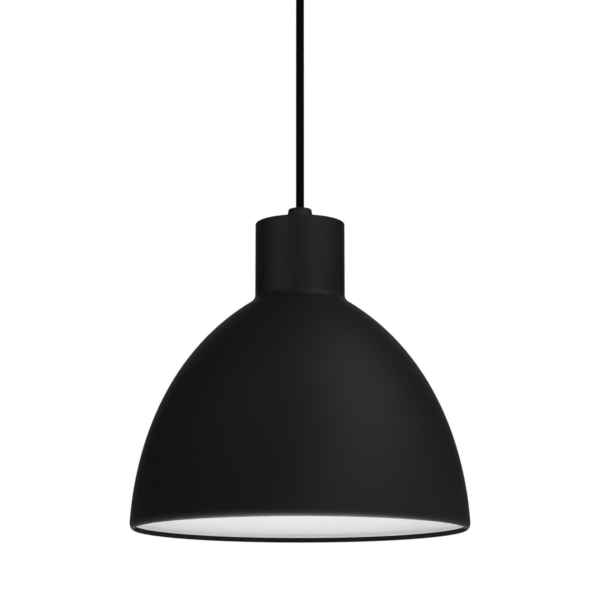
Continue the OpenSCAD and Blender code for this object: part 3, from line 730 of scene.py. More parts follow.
def shade_shape():
    top = CROWN - RIM
    foot = BEAD_T - LIP_IN
    outside = (oval(SHADE_R - LIP_IN, LIP_H, LIP_IN, LIP_H, -90, 0, 14)[:-1] + wall_line(0)
               + arc(NECK_R - NECK_EDGE, top - NECK_EDGE, NECK_EDGE, 0, 90, 8)
               + [(CROWN_HOLE, top), (CROWN_HOLE, top - CROWN_T)])
    inside = ([(NECK_R - WALL - INNER_ROUND, top - CROWN_T)]
              + arc(NECK_R - WALL - INNER_ROUND, top - CROWN_T - INNER_ROUND, INNER_ROUND, 80, 0, 6)
              + [p for p in wall_line(WALL)[::-1] if p[1] > BEAD_H + 0.6]
              + [(SHADE_R - WALL - 0.1, BEAD_H + 0.3), (SHADE_R - WALL - 0.3, BEAD_H)])
    rim = (arc(SHADE_R - BEAD_T + BEAD_ROUND, BEAD_H - BEAD_ROUND, BEAD_ROUND, 90, 180, 8)
           + arc(SHADE_R - LIP_IN, foot, foot, 180, 262, 8))
    profile = outside + inside + rim
    white_from = len(outside) - 1
    white_to = white_from + len(inside) + 1
    kinds = [0] * white_from + [1] * (white_to - white_from) + [2] * (len(profile) - white_to)
    return spin(profile, 256, kinds=kinds).at(z=RIM)


piece("spun_shade", "shade", shade_shape(), BLACK, WHITE, MATT_EDGE)


# ---- Gland, nipple and what holds the shade

NIPPLE_R, NIPPLE_PITCH, NIPPLE_BORE = 5.0, 1.0, 3.5


def washer(name, node, bore, material, edge=0.12):
    lo, hi = span(node)
    piece(name, node, ring(hi[0], bore, lo[2], hi[2], edge), material)


def locknut(name, node, degrees=0):
    lo, hi = span(node)
    nut = hex_nut(14, NIPPLE_R, hi[2] - lo[2], NIPPLE_PITCH)
    piece(name, node, nut.turned(degrees, "Z").at(z=lo[2]), BRASS)


def gland_shape():
    """A screw-down knob with six spanner flats round its foot and rounded shoulders."""
    lo, hi = span("cord_gland")
    base, top = lo[2], hi[2]
    foot_r, foot_top, flat = 10.8, base + 2.8, 10.05
    cap_r, cap_round = 8.85, 1.1
    profile = ([(NIPPLE_R, base), (foot_r - 0.25, base), (foot_r, base + 0.25), (foot_r, foot_top - 0.02),
                (foot_r, foot_top), (foot_r - 0.05, foot_top + 0.1), (9.45, base + 6.7),
                (9.33, base + 6.95)]
               + arc(cap_r - cap_round, top - cap_round - 0.1, cap_round, 10, 85, 8)
               + [(CORD_R + 1.35, top), (CORD_R + 1.2, top - 0.15), (CORD_R + 1.2, base + 8.6),
                  (6.4, base + 6.6), (6.4, base + 4.4), (NIPPLE_R, base + 4.4)])

    def warp(r, z, a):
        on_flats = z < foot_top - 0.01 and r > flat
        return (min(r, hexagon(flat, a)) if on_flats else r), z
    return spin(profile, 144, warp)


piece("cord_gland_knob", "cord_gland", gland_shape(), NYLON)
lo, hi = span("gland_bush")
bush = rounded([(CORD_R, lo[2]), (6.2, lo[2]), (6.2, lo[2] + 1.9), (CORD_R + 1.1, lo[2] + 3.9),
                (CORD_R + 1.1, hi[2] - 1.25), (CORD_R + 1.5, hi[2] - 1.25), (CORD_R + 0.3, hi[2]),
                (CORD_R, hi[2])], 0.12, 3)
piece("soft_gland_bush", "gland_bush", spin(bush, 72), RUBBER)
washer("gland_sealing_ring", "gland_washer", NIPPLE_R + 0.1, RUBBER, 0.2)
lo, hi = span("threaded_nipple")
nipple = ([(NIPPLE_BORE, lo[2]), (NIPPLE_R - 0.4, lo[2])]
          + ladder(NIPPLE_R, lo[2] + 0.4, hi[2] - 0.4, 0.14)
          + [(NIPPLE_R - 0.4, hi[2]), (NIPPLE_BORE, hi[2])])
piece("hollow_nipple", "threaded_nipple",
      spin(nipple, 56, threaded(NIPPLE_R, 0.5, NIPPLE_PITCH, lo[2] + 0.3, hi[2] - 0.3)), ZINC)
washer("shade_flat_washer", "shade_washer", NIPPLE_R + 0.2, ZINC)
locknut("brass_locknut", "nipple_locknut")


def ribbon(line, width, thickness):
    """A flat strip that follows a line in the XZ plane, its width along Y."""
    line = [np.array(p, float) for p in line]
    edge = 0.12
    section = rounded(box_line(-width / 2, -thickness / 2, width / 2, thickness / 2), edge, 2)
    points, n = [], len(section)
    for p, w in zip(line, ways_along(line)):
        up = np.array([-w[1], w[0]])
        for y, t in section:
            q = p + up * t
            points.append((q[0], y, q[1]))
    faces = [(i * n + k, i * n + (k + 1) % n, (i + 1) * n + (k + 1) % n, (i + 1) * n + k)
             for i in range(len(line) - 1) for k in range(n)]
    faces += [tuple(range(n)), tuple(range((len(line) - 1) * n, len(line) * n))]
    return Shape(points, faces)


lo, hi = span("shade_earth_tag")
TAG_T, TAG_R, TONGUE_X = 0.6, 8.0, hi[0]
tongue_line = ([(TAG_R - 1.5, 0.0), (TONGUE_X - 2.3, 0.0)]
               + arc(TONGUE_X - 1.8, -1.5, 1.5, 90, 0, 8)[1:] + [(TONGUE_X - 0.3, lo[2] - hi[2] + 0.3)])
tongue_hole_z = hi[2] - TAG_T - 4.6
tag = joined(
    plate(circle(0, 0, TAG_R), [circle(0, 0, NIPPLE_R + 0.1)], hi[2], TAG_T),
    cut(ribbon(tongue_line, 4.0, TAG_T).at(z=hi[2] - TAG_T / 2),
        rod(1.2, -2, 3).turned(90, "Y").at(TONGUE_X, 0, tongue_hole_z)))
piece("ring_earth_tag", "shade_earth_tag", tag, BRASS)

# ---- Lampholder

lo, hi = span("holder_cap")
cap_lo, cap_hi = lo[2] - RIM, hi[2] - RIM
HOLDER_R, HOLDER_WALL = 20.0, 2.0
SKIRT_R, BODY_R = HOLDER_R + 0.8, HOLDER_R - 0.8
shoulder, boss = 207.0, 8.0
skirt = [(SKIRT_R, z) for z in (cap_lo + 0.3, cap_lo + 1.1, cap_lo + 1.5, shoulder - 1.6, shoulder - 1.2)]
cap_profile = (
    [(NIPPLE_R, cap_hi), (NIPPLE_R, shoulder + 3), (HOLDER_R - 6, shoulder + 3)]
    + arc(HOLDER_R - 6, shoulder - 1, 4, 90, 0)
    + [(HOLDER_R - HOLDER_WALL, cap_lo), (HOLDER_R + 0.55, cap_lo)] + skirt
    + arc(HOLDER_R - 6, shoulder - 1, 6.8, 0, 78, 14)
    + rounded([(boss + 3, shoulder + 6.1), (boss, shoulder + 6.4), (boss, cap_hi), (NIPPLE_R, cap_hi)],
              [0.8, 0.8, 0.5, 0], 4)[:-1])


def cap_ribs(r, z, a):
    """Fine grip ribs round the cap's skirt."""
    if r > SKIRT_R - 0.1 and cap_lo + 1.2 < z < shoulder - 0.9:
        return r - 0.28 * (0.5 + 0.5 * cos(48 * a)), z
    return r, z


grub_lo, grub_hi = span("holder_grub_screw")
grub_z = (grub_lo[2] + grub_hi[2]) / 2
cap = cut(spin(cap_profile, 288, cap_ribs).at(z=RIM),
          rod(1.5, 0, 12, 32).turned(-90, "X").at(0, 0, grub_z),
          rod(1.6, 0, 8, 32).at(12, 0, RIM + shoulder))
piece("lampholder_cap", "holder_cap", cap, HOLDER)
piece("lampholder_grub_screw", "holder_grub_screw",
      grub(M3_R, grub_hi[1] - grub_lo[1], M3_PITCH).turned(-90, "X").at(0, grub_lo[1], grub_z), ZINC)

lo, hi = span("holder_body")
base, top = lo[2], hi[2]
SHELL_R, SHELL_T = 13.6, 0.5
inner = SHELL_R + SHELL_T + 1.4
neck = HOLDER_R - HOLDER_WALL - 0.1
flutes_from, flutes_to = base + 4.6, top - 10.2
body_profile = (
    [(inner, base + 0.5), (inner + 0.5, base)]
    + arc(BODY_R, base + 0.8, HOLDER_R - BODY_R, -90, 0, 6)
    + [(HOLDER_R, base + 3), (BODY_R, base + 3.9)] + ladder(BODY_R, flutes_from, flutes_to, 0.5)
    + [(BODY_R, top - 9.5), (HOLDER_R, top - 8.6), (HOLDER_R, top - 3.7), (neck, top - 3.7),
       (neck, top), (neck - 1.6, top), (neck - 1.6, top - 6.5), (inner, top - 6.5)])


def body_flutes(r, z, a):
    """Long shallow flutes between the body's two collars."""
    if abs(r - BODY_R) > 0.01 or not flutes_from < z < flutes_to:
        return r, z
    fade = min(1.0, (z - flutes_from) / 2.5, (flutes_to - z) / 2.5)
    return r - 0.45 * sin(pi / 2 * fade) * (0.5 + 0.5 * cos(24 * a)) ** 2, z


piece("lampholder_body", "holder_body", spin(body_profile, 240, body_flutes), HOLDER)

lo, hi = span("holder_core")
core_top = hi[2]
core = rounded([(0, lo[2]), (hi[0], lo[2]), (hi[0], core_top), (5, core_top), (5, core_top - 1.5),
                (0, core_top - 1.5)], [0, 0.4, 0.4, 0.3, 0, 0], 3)
terminal_hi = span("holder_terminal_screws")[1]
TERMINAL_HEAD_R, TERMINAL_HEAD_H = 2.9, 1.8
TERMINAL_X = terminal_hi[0] - TERMINAL_HEAD_R
wells = [rod(3.4, core_top - 3, core_top + 1, 40).at(s * TERMINAL_X) for s in (-1, 1)]
piece("ceramic_core", "holder_core", cut(spin(core, 96), *wells, rod(1.6, lo[2] - 1, core_top)),
      CERAMIC)
screw = pan_screw(M3_R, 2.3, TERMINAL_HEAD_R, TERMINAL_HEAD_H, M3_PITCH)
piece("lampholder_terminal_screws", "holder_terminal_screws",
      joined(*[screw.turned(turn, "Z").at(s * TERMINAL_X, 0, terminal_hi[2] - TERMINAL_HEAD_H)
               for s, turn in ((-1, 25), (1, 70))]), BRASS)

lo, hi = span("holder_contact")
spring_t = 0.4
bottom, flat = lo[2] + spring_t / 2, span("holder_core")[0][2] - 0.2 - spring_t / 2
hook = (flat - bottom) / 2
spring = ([(5.4, flat)] + arc(hook - 5.3, flat - hook, hook, 90, 270, 12)
          + [(0.0, bottom), (2.8, bottom + 0.1)])
rivet = spin(rounded([(0, flat - 0.4), (1.5, flat - 0.4), (1.5, hi[2]), (0, hi[2])],
                     [0, 0.2, 0.3, 0], 3), 32)
piece("centre_contact", "holder_contact", joined(ribbon(spring, 4.0, spring_t), rivet), BRASS)

THREAD_PITCH, THREAD_DEPTH = 3.629, 0.95     # of the E27 cap
shell_end, shell_top = (corner[2] for corner in span("holder_screw_shell"))
shell_in = ladder(SHELL_R, shell_top - 1.6, shell_end + 0.4, THREAD_PITCH / 14)
shell_out = ladder(SHELL_R + SHELL_T, shell_end + 0.4, shell_top - 1.2, THREAD_PITCH / 14)
shell = (shell_out + arc(SHELL_R - 0.5, shell_top - 1.0, 1.0, 20, 90, 5)
         + [(8.5, shell_top), (8.5, shell_top - SHELL_T), (SHELL_R - 0.6, shell_top - SHELL_T)]
         + shell_in + [(SHELL_R + 0.1, shell_end + 0.05), (SHELL_R + SHELL_T - 0.1, shell_end + 0.05)])


def shell_thread(r, z, a):
    if r < SHELL_R - 1e-6 or not shell_end + 0.3 < z < shell_top - 1.1:
        return r, z
    fade = min(1.0, (z - shell_end - 0.3) / 1.2, (shell_top - 1.1 - z) / 1.2)
    return r - (THREAD_DEPTH - 0.1) * helix(z - RIM, THREAD_PITCH, a) * max(fade, 0), z


piece("threaded_shell", "holder_screw_shell", spin(shell, 128, shell_thread), TURNED_BRASS, slot="brass")


# ---- Wires

CORE_R, STRAND_R = 1.0, 0.55


def wire(name, node, route, material, bare_start, bare_end):
    """An insulated core, with bared copper at either end for the given lengths."""
    line = smooth_path(route)
    total = lengths_along(line)
    radii, kinds, path = [], [], []
    for p, s in zip(line, total):
        bare = s < bare_start or s > total[-1] - bare_end
        if kinds and bare != kinds[-1]:
            path.append(p - (p - path[-1]) * 0.02)
            radii.append(STRAND_R if kinds[-1] else CORE_R)
            kinds.append(kinds[-1])
        path.append(p)
        radii.append(STRAND_R if bare else CORE_R)
        kinds.append(int(bare))
    piece(name, node, tube(path, radii, kinds[:-1]), material, COPPER)


end_z = end_lo[2]
for key, side, insulation in (("live", -1, LIVE), ("neutral", 1, NEUTRAL)):
    route = [(1.3, 0.9, end_z - 0.1), (1.3, 0.9, end_z - 1), (1.5, 0.9, end_z - 2.5),
             (2.9, 0.7, core_top + 2), (4.6, 0.3, core_top + 1.2), (6, 0.2, core_top + 1.1)]
    wire(f"lower_{key}_wire", f"lower_{key}_core", [(side * x, y, z) for x, y, z in route],
         insulation, 0, 1.0)
route = [(0, -1.5, end_z - 0.1), (0, -1.5, end_z - 1), (0.6, -2.2, end_z - 2.5),
         (5, -4, core_top + 3.4), (9.6, -3, core_top + 4.2), (11.8, -0.6, core_top + 6.5),
         (12, 0, core_top + 9), (12, 0, core_top + 14), (12.5, 0, tongue_hole_z - 0.6),
         (13.6, 0, tongue_hole_z), (15.6, 0, tongue_hole_z)]
wire("lower_earth_wire", "lower_earth_core", route, EARTH, 0, 1.6)

# ---- Bulb

lo, hi = span("bulb_tip")
tip = rounded([(0, lo[2]), (hi[0], lo[2]), (hi[0], lo[2] + 0.6), (3.2, lo[2] + 1.5),
               (1.6, hi[2]), (0, hi[2])], [0, 0.1, 0.3, 0.6, 0.8, 0], 4)
piece("bulb_contact_tip", "bulb_tip",
      spin(tip, 48, lambda r, z, a: (r * (1 + 0.015 * sin(3 * a + z)), z) if r < 4.5 else (r, z)),
      SOLDER)
lo, hi = span("bulb_insulator")
cone = rounded([(0, lo[2]), (hi[0], lo[2]), (hi[0] - 0.4, lo[2] + 1), (5.4, hi[2]), (0, hi[2])],
               [0, 0.2, 0.6, 0.5, 0], 4)
piece("glass_insulator", "bulb_insulator", spin(cone, 64), BLACK_GLASS)

lo, hi = span("bulb_screw_cap")
CAP_R, CAP_T = hi[0], 0.4
cap_end, cap_top = lo[2], hi[2]
outer = ladder(CAP_R, cap_end + 0.5, cap_top - 2.0, THREAD_PITCH / 14)
inner_wall = ladder(CAP_R - CAP_T, cap_top - 2.2, cap_end + 0.3, THREAD_PITCH / 14)
bulb_cap = ([(CAP_R - CAP_T + 0.1, cap_end), (CAP_R - 0.1, cap_end)] + outer
            + arc(CAP_R - THREAD_DEPTH - 2.0, cap_top - 2.0, 2.0, 15, 80, 6)
            + [(1.5, cap_top), (1.5, cap_top - CAP_T), (CAP_R - 3.2, cap_top - CAP_T)] + inner_wall)


def cap_thread(r, z, a):
    """The cap's thread starts above its open end and runs out at its root below the closed one."""
    if r < CAP_R - CAP_T - 1e-6 or z < cap_end + 2.0:
        return r, z
    start = min(1.0, (z - cap_end - 2.0) / 1.2)
    runout = min(1.0, max(0.0, (z - cap_top + 3.8) / 1.5))
    wave = helix(z - RIM, THREAD_PITCH, a)
    return r - THREAD_DEPTH * (start * wave * (1 - runout) + runout), z


piece("bulb_thread_cap", "bulb_screw_cap", spin(bulb_cap, 128, cap_thread), NICKEL)

lo, hi = span("bulb_globe")
globe_r = hi[0]
globe_mid = lo[2] + globe_r
seam = hi[2]
SEAM_RISE = seam - globe_mid
seam_r = sqrt(globe_r ** 2 - SEAM_RISE ** 2)
GLOBE_T = 1.2
low_out = arc(0, globe_mid, globe_r, -90, degrees(asin(SEAM_RISE / globe_r)), 56)
in_r = globe_r - GLOBE_T
low_in = arc(0, globe_mid, in_r, degrees(asin(SEAM_RISE / in_r)), -90, 48)
low_out[0], low_in[-1] = (0, low_out[0][1]), (0, low_in[-1][1])
piece("opal_globe", "bulb_globe", spin(low_out + low_in, 144), OPAL)

# The housing's foot fits inside the threaded cap, clear of the thread.
foot_r, THIN = CAP_R - CAP_T - THREAD_DEPTH - 0.05, 1.6
flare = [np.array(p) for p in ((16, cap_end - 1), (18, cap_end - 12), (26, seam + 14), (seam_r, seam))]
house_out = [tuple(cubic(flare, k / 36)) for k in range(37)]
groove = house_out[-1]
house_out = house_out[:-1] + [(groove[0] - 0.02, groove[1] + 0.35), (groove[0] - 0.35, groove[1])]
house_in = [(x - THIN, z) for x, z in (cubic(flare, k / 24) for k in range(24, -1, -1))]
house = ([(foot_r - THIN, cap_end + 8), (foot_r, cap_end + 8), (foot_r, cap_end - 0.05),
          (14.2, cap_end - 0.05), (14.7, cap_end - 0.2)] + house_out + house_in
         + [(foot_r + THREAD_DEPTH - THIN, cap_end - 2)])
piece("bulb_white_housing", "bulb_housing", spin(house, 128), WHITE_PLASTIC)

lo, hi = span("led_plate")
disc = plate(circle(0, 0, hi[0], 96), [circle(8 * cos(a), 8 * sin(a), 1.6, 24)
                                       for a in (0.5, 0.5 + pi)], hi[2], hi[2] - lo[2], 0.15)
piece("led_carrier_plate", "led_plate", disc, LED_METAL)
lo, hi = span("led_chips")
LED_COUNT, CHIP = 12, (3.5, 2.8)
chip_x = hi[0] - CHIP[0]
chip = joined(
    plate(rounded(box_line(0, -CHIP[1] / 2, CHIP[0], CHIP[1] / 2), 0.15, 2), [], hi[2], hi[2] - lo[2], 0.08),
    painted(plate(circle(CHIP[0] / 2, 0, 1.1, 24), [], lo[2] + 0.3, 0.29, 0.05), 1))
chips = joined(*[chip.at(chip_x).turned(360 * k / LED_COUNT, "Z") for k in range(LED_COUNT)])
piece("led_chip_ring", "led_chips", chips, WHITE_PLASTIC, PHOSPHOR, slot="led_phosphor")
lo, hi = span("driver_board")
board = upright(rounded(box_line(lo[0], lo[2], hi[0], hi[2]), 0.6, 3),
                [circle(x, hi[2] - 2, 0.6, 16) for x in (lo[0] + 2, hi[0] - 2)], lo[1], hi[1] - lo[1], 0.1)
piece("driver_circuit_board", "driver_board", board, BOARD)
side = hi[1]
can_z, coil_z, chip_z = seam + 12, seam + 20, seam + 9
can = spin(rounded([(0, 0), (3.7, 0), (4.0, 0.6), (3.75, 1.2), (4.0, 1.8), (4.0, 7.0), (3.2, 7.0),
                    (3.0, 6.8), (0, 6.8)], [0, 0.2, 0.3, 0.3, 0.3, 0.4, 0.1, 0.1, 0], 3), 48)
can = can.turned(-90, "X").at(0, side, can_z)
coil = upright(rounded(box_line(-6, coil_z, 4, coil_z + 7), 0.8, 4), [], side, 5, 0.3)
chip_body = upright(rounded(box_line(-4, chip_z, 4, chip_z + 9), 0.4, 3), [], -side - 4, 4, 0.2)
piece("driver_components", "driver_parts", joined(can, coil, chip_body), PARTS)

# ---- Ceiling bracket


def bracket_shape():
    """One steel strip, punched flat and then bent down at both ends."""
    lo, hi = span("mounting_bracket")
    thick = 1.5
    screw_drop = 12       # how far below the strip the side screws are
    half_w, ear_w, drop = hi[1], 7.0, -lo[2]
    outer, neutral = 2.5, 1.75
    flat = hi[0] - outer
    bend = neutral * pi / 2
    tip = flat + bend + drop - outer
    notch = flat + bend + screw_drop - outer
    neck_x = flat - 3
    half = ([(neck_x, -half_w), (neck_x, -ear_w), (tip, -ear_w), (tip, -2.3)]
            + arc(notch, 0, 2.3, 270, 90, 16) + [(tip, 2.3), (tip, ear_w), (neck_x, ear_w),
                                                 (neck_x, half_w)])
    radii = [0.8, 1.2, 1.5, 0.4] + [0] * 17 + [0.4, 1.5, 1.2, 0.8]
    outline = rounded(half + [(-x, -y) for x, y in half], radii + radii, 5)
    slot_r, slot_reach, pitch = 2.3, 4.7, 28.0
    holes = [circle(0, 0, 8, 64), circle(14, 0, 1.95, 32)]
    for x in (-pitch, pitch):
        holes.append(arc(x + slot_reach, 0, slot_r, -90, 90, 14)
                     + arc(x - slot_reach, 0, slot_r, 90, 270, 14))
    build = bmesh.new()
    build.from_mesh(to_mesh("strip", plate(outline, holes, 0, thick, 0.15), 1.0))
    for sign in (-1, 1):
        for k in range(9):
            bmesh.ops.bisect_plane(build, geom=build.verts[:] + build.edges[:] + build.faces[:],
                                   plane_co=(sign * (flat + bend * k / 8), 0, 0), plane_no=(1, 0, 0))
    for v in build.verts:
        past = abs(v.co.x) - flat
        if past > 0:
            sign, depth = copysign(1, v.co.x), -v.co.z
            turn = min(past / neutral, pi / 2)
            x = flat + (outer - depth) * sin(turn)
            z = -outer + (outer - depth) * cos(turn) - max(past - bend, 0)
            v.co = Vector((sign * x, v.co.y, z))
    mesh = bpy.data.meshes.new("strip")
    build.to_mesh(mesh)
    build.free()
    return from_mesh(mesh)


piece("bent_bracket", "mounting_bracket", bracket_shape(), ZINC)
lo, hi = span("bracket_earth_screw")
earth_x = (lo[0] + hi[0]) / 2
screw = pan_screw(M4_R - 0.05, hi[2] - lo[2] - 2.0, 3.6, 2.0, M4_PITCH).turned(180, "X").turned(30, "Z")
piece("bracket_earth_screw_brass", "bracket_earth_screw", screw.at(earth_x, 0, lo[2] + 2.0), BRASS)

# ---- Canopy

lo, hi = span("canopy_cup")
cup_base, cup_top, CUP_R, CUP_T, CUP_ROUND = lo[2], hi[2], hi[0], 1.2, 4.0
cup_floor = cup_base + CUP_T
cup = ([(5.2, cup_base)] + arc(CUP_R - CUP_ROUND, cup_base + CUP_ROUND, CUP_ROUND, -90, 0, 14)
       + [(CUP_R, cup_top - 0.3), (CUP_R - 0.3, cup_top), (CUP_R - CUP_T + 0.3, cup_top),
          (CUP_R - CUP_T, cup_top - 0.3)]
       + arc(CUP_R - CUP_ROUND, cup_base + CUP_ROUND, CUP_ROUND - CUP_T, 0, -90, 14) + [(5.2, cup_floor)])
piece("ceiling_cup", "canopy_cup", spin(cup, 224), BLACK)

lo, hi = span("canopy_side_screws")
side_z = (lo[2] + hi[2]) / 2
HEAD_R, HEAD_H, RIDGES = 5.4, 5.0, 32
thumb = ([(0, -8.4), (1.6, -8.4)] + ladder(M4_R, -8.0, -0.6, M4_PITCH / 8)
         + [(HEAD_R - 0.7, 0), (HEAD_R, 0.6), (HEAD_R, HEAD_H - 0.6), (HEAD_R - 0.6, HEAD_H),
            (HEAD_R - 1.4, HEAD_H), (HEAD_R - 1.7, HEAD_H - 0.35), (0, HEAD_H - 0.35)])
shank_thread = threaded(M4_R, 0.35, M4_PITCH, -8.1, -0.9)


def knurl(r, z, a):
    if r > HEAD_R - 0.01:
        return r - 0.35 * (0.5 + 0.5 * cos(RIDGES * a)), z
    return shank_thread(r, z, a)


thumb = spin(thumb, 192, knurl).turned(90, "Y").at(hi[0] - HEAD_H, 0, side_z)
piece("knurled_side_screws", "canopy_side_screws", joined(thumb, thumb.turned(180, "Z")), BLACK)
lo, hi = span("canopy_side_nuts")
nut = hex_nut(7, M4_R, 2.4, M4_PITCH).turned(90, "Y").at(hi[0] - 2.4, 0, side_z)
piece("side_screw_nuts", "canopy_side_nuts", joined(nut, nut.turned(180, "Z")), ZINC)

lo, hi = span("ceiling_grip")
mouth_z, stub_top, GRIP_R = lo[2], hi[2], hi[1]
BORE, MOUTH_R, BELL_H = CORD_R + 0.3, 7.6, 7.5
throat = mouth_z + BELL_H
grip = ([(BORE, stub_top)] + oval(MOUTH_R, throat, MOUTH_R - BORE, BELL_H, 180, 270, 18)
        + arc(GRIP_R - 0.9, mouth_z + 0.9, 0.9, -70, 0, 8)
        + rounded([(GRIP_R, mouth_z + 1), (GRIP_R, cup_base), (NIPPLE_R, cup_base)], [0, 0.5, 0], 4)[1:-1]
        + ladder(NIPPLE_R, cup_base, stub_top - 0.4, 0.14) + [(NIPPLE_R - 0.4, stub_top)])
grip = spin(grip, 144, threaded(NIPPLE_R, 0.4, NIPPLE_PITCH, cup_base + 1.3, stub_top - 0.3))
lo, hi = span("ceiling_grip_screw")
clamp_z = (lo[2] + hi[2]) / 2
piece("bell_mouth_grip", "ceiling_grip",
      cut(grip, rod(1.5, 0, GRIP_R + 1, 32).turned(90, "Y").at(0, 0, clamp_z)), NYLON)
piece("cord_clamp_screw", "ceiling_grip_screw",
      grub(M3_R, hi[0] - lo[0], M3_PITCH).turned(90, "Y").at(lo[0], 0, clamp_z), ZINC)
washer("grip_flat_washer", "ceiling_grip_washer", NIPPLE_R + 0.2, ZINC)
locknut("grip_locknut", "ceiling_grip_locknut", 12)

# ---- Terminal block

lo, hi = span("terminal_block")
BLOCK_Y = (lo[1] + hi[1]) / 2
TURRET_H, TURRET_R, POLE, CLAMP_Y = 3.0, 3.4, 10.0, 4.5
tube_lo, tube_hi = span("terminal_tubes")
TUBE_R, TUBE_BORE = 2.4, 1.6
tube_z = tube_lo[2] + TUBE_R
front = rounded(box_line(lo[0], lo[2], hi[0], hi[2] - TURRET_H), [0.4, 0.4, 1.2, 1.2], 4)
body = upright(front, [circle(k * POLE, tube_z, TUBE_R, 40) for k in (-1, 0, 1)], lo[1], hi[1] - lo[1], 0.35)
body = cut(body, rod(1.5, lo[2] - 1, hi[2] + 1, 32).at(POLE / 2, BLOCK_Y, 0))
turret = spin(rounded(box_line(1.45, hi[2] - TURRET_H - 0.2, TURRET_R, hi[2]), [0, 0, 0.4, 0.3], 4), 48)
poles = [(k * POLE, BLOCK_Y + s * CLAMP_Y) for k in (-1, 0, 1) for s in (-1, 1)]
piece("three_pole_block", "terminal_block",
      joined(body, *[turret.at(x, y, 0) for x, y in poles]), BLOCK_NYLON)
length = tube_hi[1] - tube_lo[1]
barrel = spin(rounded(box_line(TUBE_BORE, 0, TUBE_R, length), 0.25, 3), 40)
barrel = barrel.turned(-90, "X").at(y=tube_lo[1])
piece("brass_terminal_tubes", "terminal_tubes",
      joined(*[barrel.at(k * POLE, 0, tube_z) for k in (-1, 0, 1)]), BRASS)
lo, hi = span("terminal_clamp_screws")
clamp = grub(1.3, hi[2] - lo[2], 0.45)
piece("clamp_screws", "terminal_clamp_screws",
      joined(*[clamp.turned(20 + 47 * i, "Z").at(x, y, lo[2]) for i, (x, y) in enumerate(poles)]), ZINC)
lo, hi = span("terminal_block_screw")
screw = pan_screw(M3_R, hi[2] - lo[2] - 1.4, 2.4, 1.4, M3_PITCH).turned(50, "Z")
piece("block_fixing_screw", "terminal_block_screw",
      screw.at((lo[0] + hi[0]) / 2, BLOCK_Y, hi[2] - 1.4), ZINC)

lo, hi = span("canopy_earth_tag")
post = np.array([(lo[0] + hi[0]) / 2, lo[1] + 4.0])
outline = (arc(post[0], post[1], 4.0, 113.5, 426.5, 44)
           + [(post[0] + 1.6, hi[1]), (post[0] - 1.6, hi[1])])
crimp = spin(box_line(1.02, 0, 1.42, 3.6), 32).turned(-90, "X")
wire_z = hi[2] + 1.05
tag = joined(plate(outline, [circle(post[0], post[1], 1.6, 28)], hi[2], hi[2] - lo[2]),
             crimp.at(post[0], hi[1] - 3.7, wire_z + 0.32))
piece("cup_earth_tag", "canopy_earth_tag", tag, BRASS)
lo, hi = span("canopy_earth_screw")
screw = pan_screw(M3_R, hi[2] - lo[2] - 1.8, 3.0, 1.8, M3_PITCH).turned(-20, "Z")
piece("cup_earth_screw", "canopy_earth_screw", screw.at(post[0], post[1], hi[2] - 1.8), ZINC)


def upper_route(x0, y0, x1):
    top = tail_hi[2]
    return [(x0, y0, top + 0.1), (x0, y0, top + 1.2), (x0 * 1.6, y0 + 0.3, top + 3),
            (x0 + (x1 - x0) * 0.3, 4, -12.5), (x0 + (x1 - x0) * 0.75, 9, -13.5), (x1, 13, -18),
            (x1, BLOCK_Y - 10, tube_z + 0.4), (x1, BLOCK_Y - 8, tube_z), (x1, BLOCK_Y - 2.5, tube_z)]


IN_TUBE = 5.2     # how much of a core is bared to lie in its terminal
for key, x, y, end_x, insulation in (("live", -1.3, 0.9, -POLE, LIVE), ("neutral", 0, -1.5, 0, NEUTRAL),
                                     ("earth", 1.3, 0.9, POLE, EARTH)):
    wire(f"upper_{key}_wire", f"upper_{key}_core", upper_route(x, y, end_x), insulation, 0, IN_TUBE)
lead = [(POLE, BLOCK_Y + 2.5, tube_z), (POLE, BLOCK_Y + 6, tube_z), (POLE, BLOCK_Y + 9, tube_z),
        (7, BLOCK_Y + 13, tube_z + 1), (-2, 41, tube_z + 2), (-16, 36, tube_z + 2), (-29, 22, tube_z),
        (-33, 6, tube_z - 1), (-28, -2, wire_z + 0.6), (-24.5, -6, wire_z), (-24, -9, wire_z),
        (-24, -12.4, wire_z)]
wire("cup_earth_wire", "canopy_earth_lead", lead, EARTH, IN_TUBE, 2.0)

# ======== floor and light

FLOOR_Z, FLOOR_REACH = -2.5, 40
FLOOR_GLOW = 1.25     # makes the floor as white as the sky
floor = bpy.data.meshes.new("floor")
corners = box_line(-FLOOR_REACH, -FLOOR_REACH, FLOOR_REACH, FLOOR_REACH)
floor.from_pydata([(x, y, FLOOR_Z) for x, y in corners], [], [(0, 1, 2, 3)])
floor.materials.append(surface("pale_floor", (0.80, 0.80, 0.80), 0.85, 0.0, (0.78, 0.78, 0.78), 0.5, 80,
                               2e-5, emission_color=(0.80, 0.80, 0.80, 1), emission_strength=FLOOR_GLOW))
floor_object = add_object("floor", floor)
floor_object.visible_diffuse = False     # the floor is seen, but the studio lights alone light the lamp
floor_object.visible_glossy = False

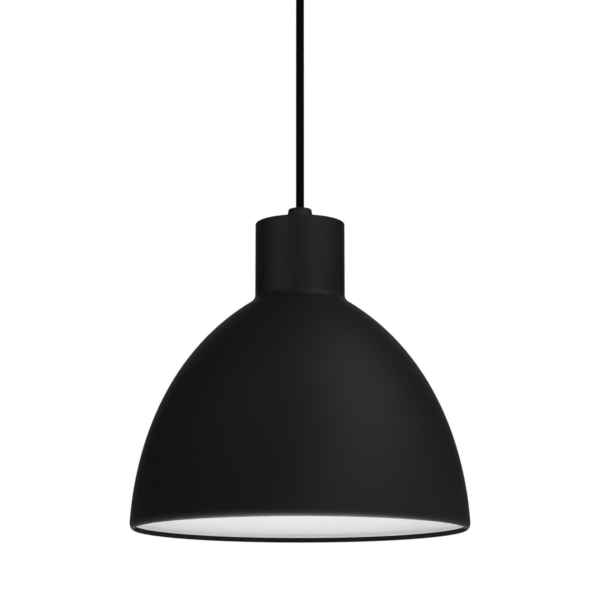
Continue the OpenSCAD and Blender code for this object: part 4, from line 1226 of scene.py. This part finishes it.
AMBIENT = 0.029     # what the white sky gives the lamp
world = bpy.data.worlds.new("studio")
world.use_nodes = True
bpy.context.scene.world = world
tree = world.node_tree
back = tree.nodes["Background"]
back.inputs["Color"].default_value = (1, 1, 1, 1)
seen = tree.nodes.new("ShaderNodeLightPath")
level = tree.nodes.new("ShaderNodeMapRange")
level.inputs["To Min"].default_value = AMBIENT
level.inputs["To Max"].default_value = 1.0
tree.links.new(seen.outputs["Is Camera Ray"], level.inputs["Value"])
tree.links.new(level.outputs["Result"], back.inputs["Strength"])

CENTRE = Vector((0, 0, (RIM + 90) * MM))


def light(name, data, place, target):
    """A light that faces its target and isn't itself seen."""
    o = add_object(name, data)
    o.location = place
    o.rotation_euler = (target - place).to_track_quat("-Z", "Y").to_euler()
    o.visible_camera = False


def soft_box(name, azimuth, height, distance, size, power):
    """A soft square light, at an azimuth round from the camera towards +X, that faces the lamp."""
    data = bpy.data.lights.new(name, "AREA")
    data.size = size
    data.energy = power
    turn = radians(azimuth)
    offset = Vector((distance * sin(turn), -distance * cos(turn), height))
    light(name, data, CENTRE + offset, CENTRE)


soft_box("key", 30, 0.35, 2.0, 1.8, 4.0)
soft_box("side", 90, 0.35, 2.0, 1.8, 1.4)
soft_box("back", 180, 0.35, 2.0, 1.8, 5)
soft_box("below", 0, -1.0, 0.001, 1.4, 28.4)
soft_box("overhead", 60, 1.6, 1.4, 1.8, 9.7)
soft_box("left_overhead", -40, 1.6, 1.4, 1.8, 1.6)

# A narrow soft light from the left lifts the neck.
NECK_AT = CENTRE + Vector((0, 0, 0.118))
narrow = bpy.data.lights.new("neck", "SPOT")
narrow.energy = 144
narrow.spot_size = radians(5)
narrow.spot_blend = 1.0
narrow.shadow_soft_size = 0.15
around, rise, reach = radians(-50), radians(-5), 1.6
light("neck", narrow, NECK_AT + reach * Vector((sin(around) * cos(rise),
                                                -cos(around) * cos(rise),
                                                sin(rise))), NECK_AT)

bpy.context.scene.view_settings.view_transform = "Standard"
bpy.context.scene.view_settings.look = "None"
